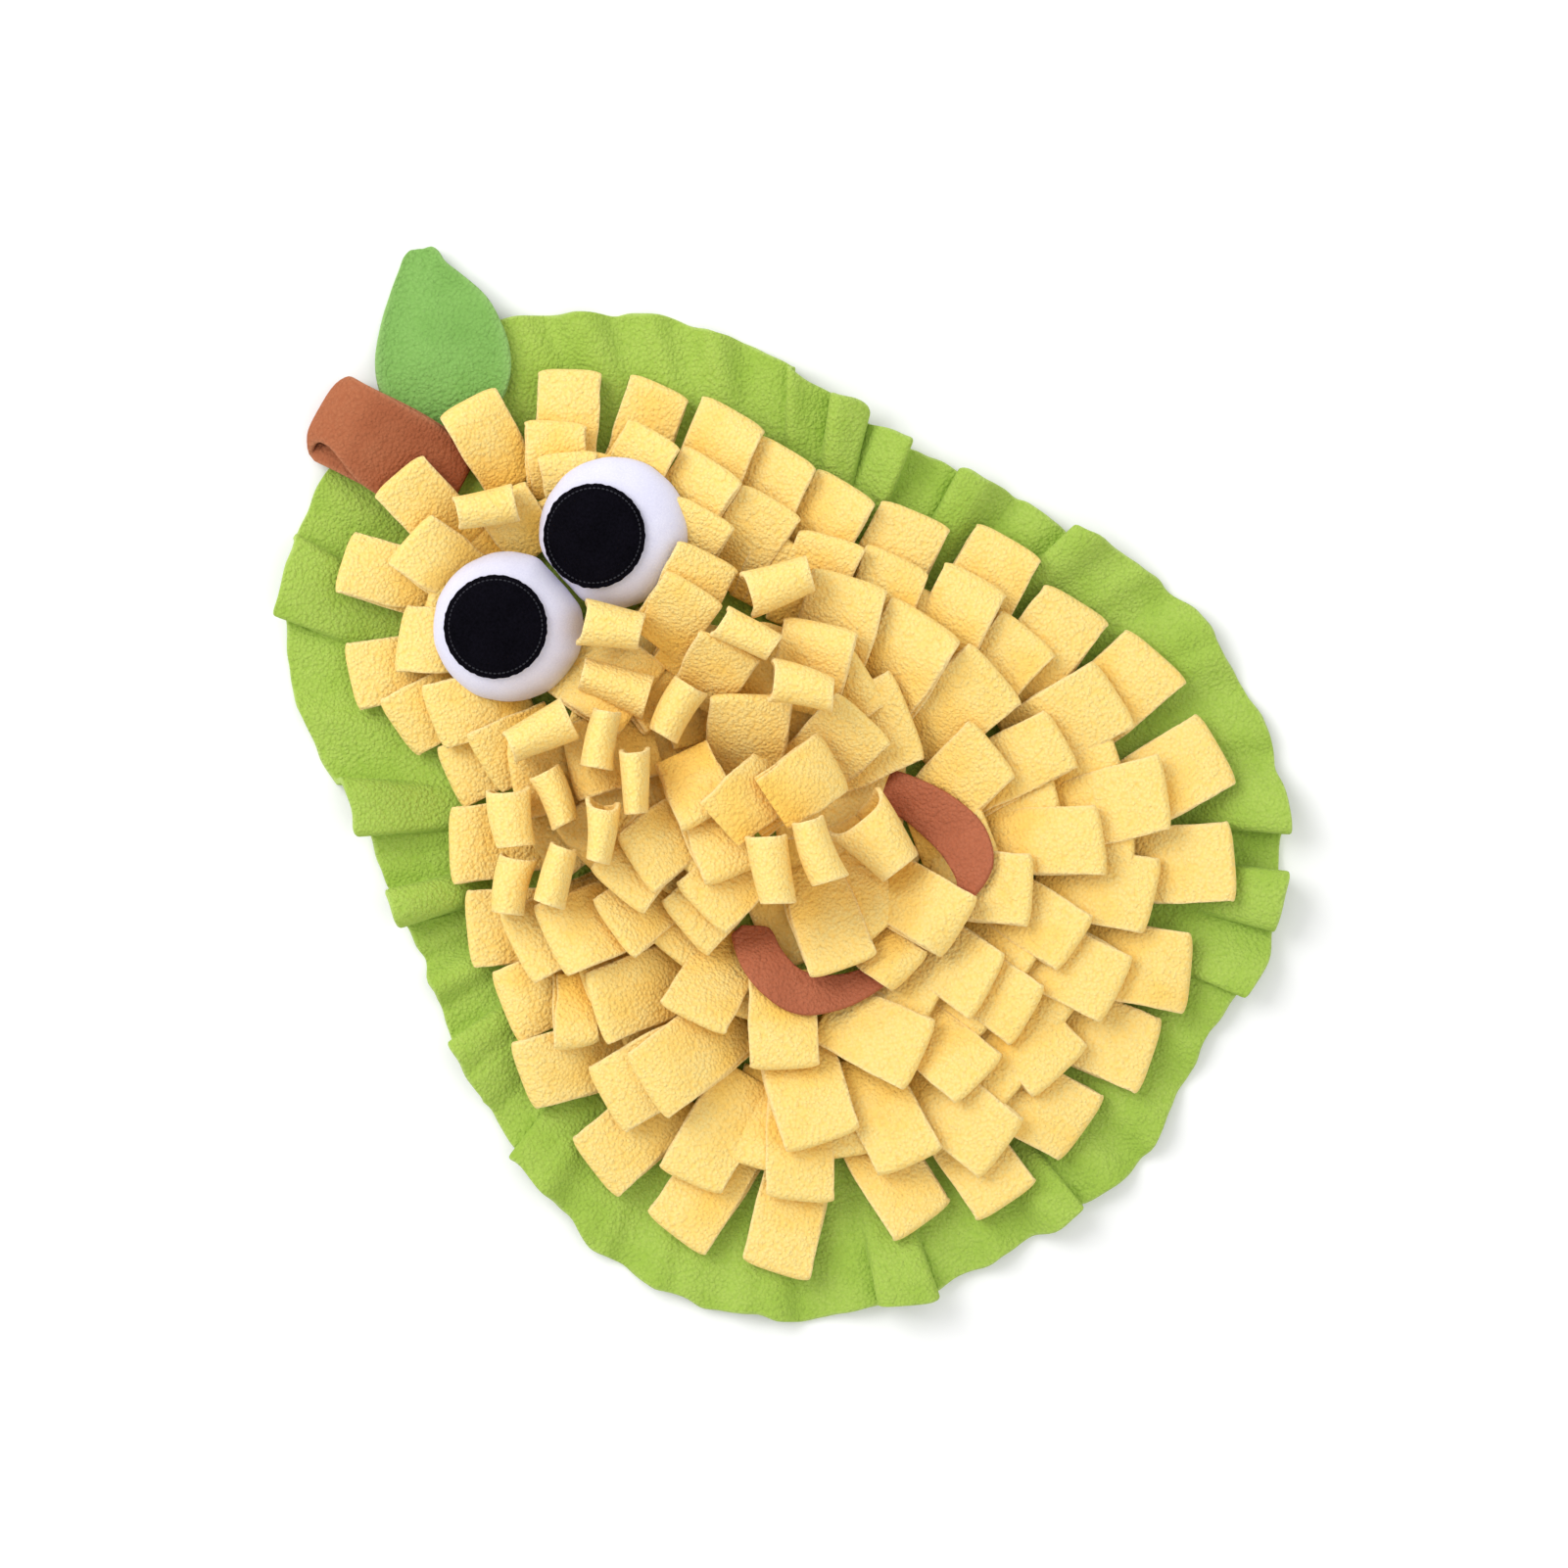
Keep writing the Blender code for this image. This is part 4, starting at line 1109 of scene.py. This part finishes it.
@dataclass
class TabRow:
    """Tabs sewn side by side on one backing."""

    name: str
    rows: list[Row]
    finish: Fleece = BUTTER
    cloth: float = 1.5
    corner: float = 1.5
    hollow: float = 0.0
    shorter: float = 8.0  # how far the fillers stay behind
    filler_loft: float = 0.8
    deeper_loft: float = 0.6
    firmness: float = 0.1  # share of a filler's height that later tabs are laid over; they cut through the rest

    def tabs(self) -> list[Tab]:
        """Its tabs in the order of sewing.

        Returns:
            The tabs.
        """
        found = []
        for row in self.rows:
            for tip, heading in row.places():
                habit = habit_of(f"{self.name} {len(found)}")
                tab = Tab(tip, heading, row.width, row.reach, row.loft, habit, self.cloth, self.corner, self.hollow)
                found.append(tab)
        return found

    def fillers(self) -> list[Tab]:
        """Shorter tabs of the same row that lie under the gaps between the others, and what lies deeper.

        Returns:
            The fillers, which are laid before the tabs.
        """
        found = []
        for x, y, turn, width, reach in DEEPER.get(self.name, ()):
            habit = habit_of(f"{self.name} deeper {len(found)}")
            found.append(Tab(np.array((x, y), float), turn, width, reach, self.deeper_loft, habit, self.cloth))
        for row in self.rows if "rim" not in self.name else ():
            places = list(row.places())
            for (tip_a, turn_a), (tip_b, turn_b) in zip(places, places[1:]):
                turn = (turn_a + turn_b) / 2
                tip = (tip_a + tip_b) / 2 - unit(turn)[0] * self.shorter
                habit = habit_of(f"{self.name} filler {len(found)}")
                reach = row.reach - self.shorter
                found.append(Tab(tip, turn, row.width, reach, self.filler_loft, habit, self.cloth))
        return found

    def build(self, relief: Relief) -> Piece:
        """Lays the tabs one by one on what is below them.

        Args:
            relief: what already lies there, which they raise.

        Returns:
            The row.
        """
        tabs = self.tabs()
        links = []
        for a, b in zip(tabs, tabs[1:]):
            path = a.root + (b.root - a.root) * np.linspace(0, 1, 40)[:, None]
            links.append(relief.top(path[:, 0], path[:, 1], around=4).max())
        bm = new_cloth()
        fillers = self.fillers()
        for i, tab in enumerate(fillers + tabs, start=-len(fillers)):  # below zero for the fillers
            before = relief.grid.copy()
            surface = tab.surface(relief, 0.0 if i < 0 else max([0.0, *links[max(0, i - 1) : i + 1]]))
            relief.lay(surface, tab.cloth / 2)
            if i < 0:
                relief.grid = before + self.firmness * (relief.grid - before)
            cloth_grid(bm, surface, tab.marks(surface), tab.cut)
        piece = finish_piece(bm, f"{self.name}_strips", self.finish, [self.name])
        thicken(piece, self.cloth)
        return piece


# ---- standing loops


class Loop(NamedTuple):
    """A strip standing as an open loop, seen from above as a rounded bar."""

    group: str
    x: float
    y: float
    axis: float  # direction of its fold
    length: float
    span: float
    height: float
    gape: float = 0.0  # how much wider it stands open at the far end of its axis, as a share
    dip: float = 0.0  # how far the top draws back at that end, which shows its hollow


LOOPS = (
    Loop("loops_stem", 4, 106, 145, 19, 11, 12, -0.1, 1.0),
    Loop("loops_top", -7, 40, 114, 22, 12, 15, -0.2, 0.5),
    Loop("loops_top", 5, 53, 125, 19, 13, 14, 0.15, 1.5),
    Loop("loops_left_1", -71.5, 19.5, 33, 18, 11, 15, 0.1, 1.0),
    Loop("loops_left_1", -60, 12, 30, 18.5, 9.5, 15, -0.1, 0.5),
    Loop("loops_left_2", -57, 34, 52, 18, 13, 14, 0.1, 1.5),
    Loop("loops_left_2", -44, 29, 66, 17.5, 9.5, 16, 0.1, 0.5),
    Loop("loops_left_2", -41, 12, 40, 19, 9.0, 16, 0.25, 3.0),
    Loop("loops_left_3", -23, 15, 46, 20, 8.5, 18, 0.15, 1.5),
    Loop("loops_left_3", -21, 31, 34, 18, 9.5, 17, -0.1, 0.5),
    Loop("loops_left_4", -33, 46, 160, 21, 12, 15, -0.2, 1.0),
    Loop("loops_right_1", 49.5, 26, 154, 21, 13, 12, 0.15, 1.5),
    Loop("loops_right_2", 32, 22, 108, 19, 10, 11, 0.1, 1.0),
    Loop("loops_right_3", 32, -1, 120, 20, 12, 12, 0.15, 1.5),
    Loop("loops_nose", 1, 21, 15, 18, 11, 14, 0.1, 0.5),
    Loop("loops_mouth", -13, -33, 55, 21, 12, 14, 0.1, 0.5),
    Loop("loops_mouth", 1, -39, 65, 20, 11.0, 14, -0.1, 0.5),
    Loop("loops_mouth", 15.5, -49, 84, 24, 18, 15, 0.25, 5.0),
)


@dataclass
class StandingLoop:
    """One loop's cloth: up from its pinched foot, round over the top, and down to the foot again."""

    loop: Loop
    habit: Habit
    cloth: float = 1.5
    keel: float = 0.3
    pinch: float = 0.8
    flank: tuple[tuple[float, float], ...] = (
        (0.0, 0.0),
        (0.3, 0.1),
        (0.46, 0.3),
        (0.5, 0.52),
        (0.44, 0.76),
        (0.25, 0.94),
        (0.0, 1.0),
    )
    posts: tuple[float, ...] = (-0.5, -0.47, -0.36, -0.18, 0.0, 0.18, 0.36, 0.47, 0.5)

    def outline(self) -> tuple[Array, Array]:
        """Its section from foot to foot.

        Returns:
            Sideways share of the span, and share of the height, at each step.
        """
        side, high = zip(*(self.flank + tuple((-s, z) for s, z in reversed(self.flank[:-1]))))
        at = np.linspace(0, len(side) - 1, 25)
        steps = np.arange(len(side))
        return through(steps, side, at), through(steps, high, at)

    def feet(self, relief: Relief, least: float) -> tuple[float, float, float]:
        """How it stands on what lies below.

        Args:
            relief: what already lies there.
            least: height that its foot has to keep.

        Returns:
            Heights of its foot and shoulder, and its rise from there.
        """
        loop = self.loop
        fold, across = unit(loop.axis)
        side = np.linspace(-0.5, 0.5, 45)[:, None]
        u = np.linspace(-0.5, 0.5, 45) * loop.length
        x = loop.x + across[0] * side * loop.span + fold[0] * u
        y = loop.y + across[1] * side * loop.span + fold[1] * u
        below = relief.top(x, y).max(axis=1) + AIR
        rise = 0.9 * loop.height
        spread = ((abs(side[:, 0]) - self.keel) / (0.5 - self.keel)).clip(0)
        shoulder = max((below - 0.44 * rise * spread).max(), least + 0.1 * loop.height)
        foot = max(least, below[abs(side[:, 0]) < 0.35 * self.keel].max())
        return foot, shoulder, max(rise, foot + loop.height - shoulder)

    def surface(self, relief: Relief, least: float) -> Array:
        """The cloth's middle layer, settled on what lies below.

        Args:
            relief: what already lies there.
            least: height that its foot has to keep.

        Returns:
            Rows of points.
        """
        loop = self.loop
        foot, shoulder, rise = self.feet(relief, least)
        side, high = self.outline()
        fold, across = unit(loop.axis)
        posts = np.array(self.posts)[None, :]
        side, high = side[:, None], high[:, None]
        spread = 1 + loop.gape * posts * 2
        sideways = side * (loop.span - self.cloth) * spread + self.habit.bend * (1 - (2 * posts) ** 2)
        widen = np.interp(high, (0, 0.12, 0.3), (self.pinch, 0.88, 1.0))
        along = posts * loop.length * widen + self.habit.skew * side * 1.5
        stand = np.where(high < 0.1, foot + (shoulder - foot) * high / 0.1, shoulder + rise * (high - 0.1) / 0.9)
        drawn = loop.dip * ease(posts * 2) * ease((high - 0.4) / 0.6)
        along = along - drawn
        stand = stand - self.cloth / 2 * (2 * high - 1) - 0.3 * drawn
        stand = stand + 0.35 * self.habit.crown * (1 - (2 * posts) ** 2) * high
        crease = 0.25 * wander(f"{loop.x}", posts * loop.length + 9 * side, 8.0) * high
        x = loop.x + across[0] * (sideways + crease) + fold[0] * along
        y = loop.y + across[1] * (sideways + crease) + fold[1] * along
        points = np.stack(np.broadcast_arrays(x, y, stand), axis=2)
        fine = densify(points, 0.5)
        clear = fine[..., 2] - self.cloth / 2 - relief.top(fine[..., 0], fine[..., 1], around=0)
        beside = fine[..., 2] - self.cloth / 2 - relief.top(fine[..., 0], fine[..., 1])
        points[..., 2] -= min(clear.min() - AIR, beside.min() + 1.0)
        return points

    @property
    def cut(self) -> tuple[float, float]:
        """Flat length and width of the strip before it is looped."""
        return 2.0 * self.loop.height + 1.3 * self.loop.span, self.loop.length


@dataclass
class LoopGroup:
    """Loops that stand side by side on one backing."""

    name: str
    loops: list[Loop]
    cloth: float = 1.5

    def build(self, relief: Relief) -> Piece:
        """Stands the loops on what is below them.

        Args:
            relief: what already lies there.

        Returns:
            The group.
        """
        links = []
        for a, b in zip(self.loops, self.loops[1:]):
            t = np.linspace(0, 1, 30)
            links.append(relief.top(a.x + (b.x - a.x) * t, a.y + (b.y - a.y) * t, around=9).max() + AIR)
        bm = new_cloth()
        for i, loop in enumerate(self.loops):
            stand = StandingLoop(loop, habit_of(f"{self.name} {i}"), self.cloth)
            surface = stand.surface(relief, max([0.0, *links[max(0, i - 1) : i + 1]]))
            cut = np.broadcast_to((abs(2 * np.array(stand.posts)) ** 16)[None, :], surface.shape[:2])
            # Painted shade: the tint falls towards the loop's foot, so its lower cloth is darker and more orange.
            level = (surface[..., 2] - surface[..., 2].min()) / np.ptp(surface[..., 2])
            tint = stand.habit.tint + 0.5 * (level - 0.65)
            cloth_grid(bm, surface, {"tint": tint, "cut": cut}, stand.cut)
        piece = finish_piece(bm, f"{self.name}_strips", BUTTER, [self.name])
        thicken(piece, self.cloth)
        return piece


# ---- felt shapes


@dataclass
class Leaf:
    """The leaf: thick fleece with a soft rounded edge, sewn down at its root."""

    root: tuple[float, float] = (12.0, 132.0)
    heading: float = 50.0
    cloth: float = 2.6
    drape: float = 0.22  # how steeply it comes down from what it lies on
    flat: tuple[float, float] = (0.042, 0.064)  # its cloth, in metres
    area: float = 0.0018
    woven: tuple[float, float] = (64, 42)  # length and width that its pattern follows
    stations: tuple[tuple[float, float, float], ...] = (
        (-6, 5, 5),
        (4, 14, 15),
        (14, 19, 21),
        (24, 19.8, 22),
        (33, 17.8, 19.8),
        (41, 15.0, 15.6),
        (48, 11.8, 8.8),
        (52.5, 9.5, 4.1),
        (55, 8.4, 3.0),
        (56.5, 7.1, 1.6),
        (57.4, 5.6, 0.0),
    )

    def build(self, relief: Relief) -> Piece:
        """Lays the leaf on the rim.

        Args:
            relief: what already lies there, which it raises.

        Returns:
            The leaf.
        """
        forward, left = unit(self.heading)
        reach, half_left, half_right = zip(*self.stations)
        along = reach[-1] - (reach[-1] - reach[0]) * (1 - np.linspace(0, 1, 30)) ** 1.3
        shares = np.array((1.0, 0.97, 0.85, 0.6, 0.3, 0.0, -0.3, -0.6, -0.85, -0.97, -1.0))
        left_half, right_half = through(reach, half_left, along), through(reach, half_right, along)
        aside = ((left_half - right_half)[:, None] + (left_half + right_half)[:, None] * shares) / 2
        x = self.root[0] + forward[0] * along[:, None] + left[0] * aside
        y = self.root[1] + forward[1] * along[:, None] + left[1] * aside
        bed = relief.top(x, y, around=8)
        fall = self.drape * abs(along[:, None] - along[None, :])
        z = (bed[None, :, :] - fall[:, :, None]).max(axis=1) + AIR + self.cloth / 2
        surface = np.stack((x, y, z), axis=2)
        relief.lay(surface, self.cloth / 2)
        bm = new_cloth()
        cut = np.broadcast_to((abs(shares) ** 30)[None, :], surface.shape[:2])
        cloth_grid(bm, surface, {"tint": np.zeros(cut.shape), "cut": cut}, self.woven)
        piece = finish_piece(bm, "leaf_cloth", LEAF, ["leaf"])
        thicken(piece, self.cloth)
        return piece


@dataclass
class Smile:
    """The mouth: a felt crescent, tucked under tabs in its middle."""

    centre: tuple[float, float] = (0.0, -42.0)
    cloth: float = 1.8
    rounds: int = 6  # how often it is evened out over what it lies on
    sag: float = 0.15  # how far it may sink in each round
    flat: tuple[float, float] = (0.015, 0.145)  # its cloth, in metres
    area: float = 0.0015
    woven: tuple[float, float] = (140, 14)  # length and width that its pattern follows
    stations: tuple[tuple[float, float, float], ...] = (
        (174, 33, 36),
        (186, 27.5, 41),
        (200, 31, 45),
        (214, 35, 48),
        (230, 36, 46.5),
        (250, 36, 43),
        (272, 35, 40.5),
        (289, 36, 41),
        (302, 42, 48),
        (312, 38, 51.5),
        (324, 32.5, 50.5),
        (338, 28, 44.5),
        (352, 25, 38.5),
        (371, 30.5, 33),
    )

    def build(self, relief: Relief) -> Piece:
        """Lays the crescent over the tabs below it.

        Args:
            relief: what already lies there, which it raises.

        Returns:
            The mouth.
        """
        bearings, inner, outer = zip(*self.stations)
        at = np.linspace(bearings[0], bearings[-1], 70)
        shares = np.array((0.0, 0.05, 0.2, 0.4, 0.6, 0.8, 0.95, 1.0))
        near, far = through(bearings, inner, at), through(bearings, outer, at)
        radius = near[:, None] + (far - near)[:, None] * shares
        turns = np.radians(at)[:, None]
        x = self.centre[0] + radius * np.cos(turns)
        y = self.centre[1] + radius * np.sin(turns)
        z = relief.top(x, y, around=8)
        for _ in range(self.rounds):
            padded = np.pad(z, ((1, 1), (1, 1)), mode="edge")
            even = (padded[:-2, 1:-1] + padded[2:, 1:-1] + padded[1:-1, :-2] + padded[1:-1, 2:]) / 4
            z = np.maximum(even, z - self.sag)
        surface = np.stack((x, y, z + AIR + self.cloth / 2), axis=2)
        relief.lay(surface, self.cloth / 2)
        bm = new_cloth()
        cut = np.zeros(surface.shape[:2])
        cloth_grid(bm, surface, {"tint": cut, "cut": cut}, self.woven)
        piece = finish_piece(bm, "mouth_felt", LIP, ["mouth"])
        thicken(piece, self.cloth)
        return piece


# ---- eyes


@dataclass
class Eye:
    """A stuffed plush eye with a black felt pupil, stitched on near its edge."""

    side: str
    x: float
    y: float
    pupil_x: float
    pupil_y: float
    squeezed_towards: float  # bearing of the other eye, which presses on it
    radius: float = 23.0
    squeeze: float = 21.0
    waist: float = 10.5
    crown: float = 13.0
    squareness: float = 2.6
    give: float = 0.6  # share of the slope under it that it leans by
    shoulder: float = 0.86  # share of its radius out to which felt follows it
    base: float = 2.2
    pupil_radius: float = 15.6
    felt: float = 1.4
    stitch_ring: float = 14.2
    stitches: int = 66
    stitch: tuple[float, float, float] = (0.3, 0.6, 0.25)
    hover: float = 0.15  # how far the stiff felt stands off the plush, besides the daylight
    fill: float = 0.85
    felt_flat: tuple[float, float] = (0.0312, 0.0312)  # the felt disc, in metres
    felt_area: float = 0.000764
    tree: BVHTree = field(init=False, repr=False)  # the finished plush, for plumb lines

    def reach(self, bearing: Array) -> Array:
        """Its radius, flattened where the other eye presses on it.

        Args:
            bearing: directions from its middle in degrees.

        Returns:
            The radius in each.
        """
        off = np.radians((bearing - self.squeezed_towards + 180) % 360 - 180)
        flat = self.squeeze / np.maximum(0.2, np.cos(off))
        return np.minimum(self.radius, flat)

    def lean(self, relief: Relief, x: Array, y: Array) -> Array:
        """Height of its waist: a plane that leans, by its give, as the tabs under its edge do.

        Args:
            relief: what already lies there.
            x: places across.
            y: places along.

        Returns:
            The height at each place.
        """
        around = np.radians(np.arange(0, 360, 10))
        reach = self.reach(np.degrees(around))
        dx, dy = reach * np.cos(around), reach * np.sin(around)
        rests = np.maximum(self.base + self.waist, relief.top(self.x + dx, self.y + dy, around=6))
        facts = np.stack((np.ones(len(dx)), dx, dy), axis=1)
        level, slope_x, slope_y = np.linalg.lstsq(facts, rests, rcond=None)[0]
        return level + self.give * (slope_x * (x - self.x) + slope_y * (y - self.y))

    def build_ball(self, relief: Relief) -> Piece:
        """The stuffed cushion, resting on the tabs below it.

        Args:
            relief: what already lies there, which it raises.

        Returns:
            The cushion.
        """
        bm = new_cloth()
        bmesh.ops.create_uvsphere(bm, u_segments=56, v_segments=28, radius=1.0)
        places = np.array([v.co for v in bm.verts])
        bearing = np.degrees(np.arctan2(places[:, 1], places[:, 0]))
        share = np.hypot(places[:, 0], places[:, 1]).clip(0, 1)
        reach = self.reach(bearing)
        pucker = 0.25 * wander(self.side, bearing, 18.0) * share**2
        x = self.x + np.cos(np.radians(bearing)) * (reach + pucker) * share
        y = self.y + np.sin(np.radians(bearing)) * (reach + pucker) * share
        waist = self.lean(relief, x, y)
        dome = np.sqrt((1 - share**self.squareness).clip(0))
        upper = waist + self.crown * dome
        lower = np.maximum(waist - self.waist * dome, relief.top(x, y, around=3) + AIR)
        z = np.where(places[:, 2] >= 0, upper, np.minimum(lower, waist))
        for vert, place in zip(bm.verts, np.stack((x, y, z), axis=1)):
            vert.co = place
        bm.faces.ensure_lookup_table()
        self.tree = BVHTree.FromBMesh(bm)
        lay_tree(relief, self.tree, (self.x, self.y), self.radius + 1)
        piece = finish_piece(bm, f"eye_{self.side}_plush", PLUSH, [f"eye_{self.side}"])
        soften(piece)
        return piece

    def over(self, x: Array, y: Array) -> Array:
        """Height of the plush. Felt that reaches past its shoulder stays as high as the shoulder.

        Args:
            x: places across.
            y: places along.

        Returns:
            The height at each place.
        """
        bearing = np.arctan2(np.asarray(y) - self.y, np.asarray(x) - self.x)
        off = np.hypot(np.asarray(x) - self.x, np.asarray(y) - self.y)
        near = np.minimum(off, self.shoulder * self.reach(np.degrees(bearing)))
        x, y = self.x + near * np.cos(bearing), self.y + near * np.sin(bearing)
        found = []
        for px, py in zip(np.ravel(x), np.ravel(y)):
            high = plumb(self.tree, px, py)
            found.append(self.base + self.waist if high is None else high)
        return np.array(found).reshape(np.shape(x))

    def build_pupil(self) -> Piece:
        """The felt disc, draped on the plush, with a slightly frayed edge.

        Returns:
            The disc.
        """
        shares = np.array((1.0, 0.985, 0.955, 0.925, 0.895, 0.865, 0.82, 0.7, 0.5, 0.3, 0.12))[:, None]
        turns = np.linspace(0, 2 * math.pi, 120, endpoint=False)[None, :]
        fray = np.where(shares > 0.97, 0.3 * wander(self.side + "fray", np.degrees(turns), 5.0), 0.0)
        radius = self.pupil_radius * shares + fray
        x, y = self.pupil_x + radius * np.cos(turns), self.pupil_y + radius * np.sin(turns)
        pinch = 0.35 * np.exp(-(((radius - self.stitch_ring) / 0.7) ** 2))
        surface = np.stack((x, y, self.over(x, y) + AIR + self.felt / 2 + self.hover - pinch), axis=2)
        bm = new_cloth()
        for ring, places in zip(nested_rings(bm, turns.size, shares.size), surface):
            for vert, place in zip(ring, places):
                vert.co = place
        piece = finish_piece(bm, f"pupil_{self.side}_felt", INK, [f"pupil_{self.side}"])
        thicken(piece, self.felt)
        return piece

    def build_stitches(self) -> Piece:
        """A ring of thread, one short stitch after the other.

        Returns:
            The ring.
        """
        bm = new_cloth()
        for i in range(self.stitches):
            turn = 2 * math.pi * i / self.stitches
            x = self.pupil_x + self.stitch_ring * math.cos(turn)
            y = self.pupil_y + self.stitch_ring * math.sin(turn)
            z = float(self.over(np.array(x), np.array(y))) + AIR + self.felt + self.hover
            size = Matrix.Diagonal((*self.stitch, 1.0))
            place = Matrix.Translation((x, y, z)) @ Matrix.Rotation(turn, 4, "Z") @ size
            bmesh.ops.create_icosphere(bm, subdivisions=1, radius=1.0, matrix=place)
        return finish_piece(bm, f"pupil_{self.side}_stitches", THREAD, [])


def plumb(tree: BVHTree, x: float, y: float) -> float | None:
    """Drops a plumb line on a piece.

    Args:
        tree: the piece's faces.
        x: its place across.
        y: its place along.

    Returns:
        The height at which it meets the piece, or None beside it.
    """
    hit = tree.ray_cast(Vector((x, y, SKY)), Vector((0, 0, -1)))[0]
    return hit.z if hit else None


def lay_tree(relief: Relief, tree: BVHTree, centre: tuple[float, float], radius: float) -> None:
    """Raises the relief to the top of a solid piece.

    Args:
        relief: what already lies there.
        tree: the piece's faces.
        centre: its middle.
        radius: how far from there it reaches at most.
    """
    steps = np.arange(-radius, radius, Relief.CELL)
    for dx in steps:
        for dy in steps:
            high = plumb(tree, centre[0] + dx, centre[1] + dy)
            if high is not None:
                cell = relief.cells(centre[0] + dx, centre[1] + dy)
                relief.grid[cell] = max(relief.grid[cell], high)


# ---- studio


@dataclass(frozen=True)
class Studio:
    """A plain pale floor, soft light, and the camera straight above."""

    camera_height: float = 1.51
    field: float = 0.4803  # width of floor that the picture shows, in metres
    look_x: float = 0.0077
    look_y: float = -0.0176
    up: float = 44.5  # heading that points up in the picture
    focus: float = 0.01  # height over the floor at which the field is measured
    sky: float = 0.79

    def camera(self) -> None:
        """Looks straight down, turned so that the pear leans to the left."""
        up, left = unit(self.up)
        data = bpy.data.cameras.new("camera")
        data.angle = 2 * math.atan(self.field / 2 / (self.camera_height - self.focus))
        data.clip_start, data.clip_end = 0.05, 20
        camera = bpy.data.objects.new("camera", data)
        right = -left
        camera.matrix_world = Matrix(
            (
                (right[0], up[0], 0, self.look_x),
                (right[1], up[1], 0, self.look_y),
                (0, 0, 1, self.camera_height),
                (0, 0, 0, 1),
            )
        )
        bpy.context.scene.collection.objects.link(camera)
        bpy.context.scene.camera = camera

    def lamp(self, name: str, heading: float, slant: float, distance: float, size: float, power: float) -> None:
        """A soft box that looks at the mat.

        Args:
            name: the lamp's name.
            heading: where it stands, seen from the mat.
            slant: how high it stands, in degrees over the floor.
            distance: how far away, in metres.
            size: its side, in metres.
            power: its watts.
        """
        along, _ = unit(heading)
        rise = math.radians(slant)
        place = Vector((along[0] * math.cos(rise), along[1] * math.cos(rise), math.sin(rise))) * distance
        data = bpy.data.lights.new(name, "AREA")
        data.shape, data.size, data.energy = "SQUARE", size, power
        lamp = bpy.data.objects.new(name, data)
        lamp.location = place
        lamp.rotation_mode = "QUATERNION"
        lamp.rotation_quaternion = (-place).to_track_quat("-Z", "Y")
        bpy.context.scene.collection.objects.link(lamp)

    def floor(self) -> None:
        """A wide pale floor."""
        bm = bmesh.new()
        bmesh.ops.create_grid(bm, x_segments=1, y_segments=1, size=3.0)
        mesh = bpy.data.meshes.new("floor")
        bm.to_mesh(mesh)
        bm.free()
        floor = bpy.data.objects.new("floor", mesh)
        bpy.context.scene.collection.objects.link(floor)
        nodes = Shading("floor_paper")
        tone = nodes.between(nodes.noise(nodes.coords(Coords.OBJECT), 60.0), (0.94, 0.94, 0.94), (0.96, 0.96, 0.96))
        nodes.tree.links.new(tone, nodes.shader.inputs["Base Color"])
        nodes.shader.inputs["Roughness"].default_value = 0.9
        mesh.materials.append(nodes.material)

    def build(self) -> None:
        """Sets up floor, lights, sky and camera."""
        self.floor()
        self.camera()
        self.lamp("key", 100.0, 45.0, 1.6, 1.0, 14.5)
        self.lamp("fill", -60.0, 60.0, 1.8, 1.4, 4.0)
        world = bpy.data.worlds.new("sky")
        world.use_nodes = True
        world.node_tree.nodes["Background"].inputs["Color"].default_value = (1, 1, 1, 1)
        world.node_tree.nodes["Background"].inputs["Strength"].default_value = self.sky
        bpy.context.scene.world = world
        bpy.context.scene.view_settings.view_transform = "Standard"


def build_rows(relief: Relief, lay: Lay) -> None:
    """Builds the rows of one stage of sewing.

    Args:
        relief: what already lies there, which they raise.
        lay: the stage.
    """
    table = ROWS[lay]
    for name in dict.fromkeys(row.name for row in table):
        piece = TabRow(name, [row for row in table if row.name == name]).build(relief)
        LOG.info("%s: %d points", piece.name, len(piece.data.vertices))


def main() -> None:
    """Builds the mat in the order of sewing, then the studio round it."""
    logging.basicConfig(level=logging.INFO, format="%(name)s %(message)s")
    relief = Relief()
    LOG.info("%s", Base(relief).build().name)
    LOG.info("%s", Leaf().build(relief).name)
    LOG.info("%s", TabRow("stem", [STEM], BARK, cloth=2.0, corner=4.2, hollow=6.5).build(relief).name)
    build_rows(relief, Lay.UNDER_EYES)
    for eye in (
        Eye("right", 26.0, 73.0, 21.0, 76.0, 176.0),
        Eye("left", -17.0, 76.0, -19.5, 78.0, -4.0),
    ):
        LOG.info("%s", eye.build_ball(relief).name)
        LOG.info("%s", eye.build_pupil().name)
        LOG.info("%s", eye.build_stitches().name)
    build_rows(relief, Lay.UNDER_MOUTH)
    LOG.info("%s", Smile().build(relief).name)
    build_rows(relief, Lay.OVER_MOUTH)
    for group in dict.fromkeys(loop.group for loop in LOOPS):
        piece = LoopGroup(group, [loop for loop in LOOPS if loop.group == group]).build(relief)
        LOG.info("%s", piece.name)
    Studio().build()


if __name__ == "__main__":
    main()
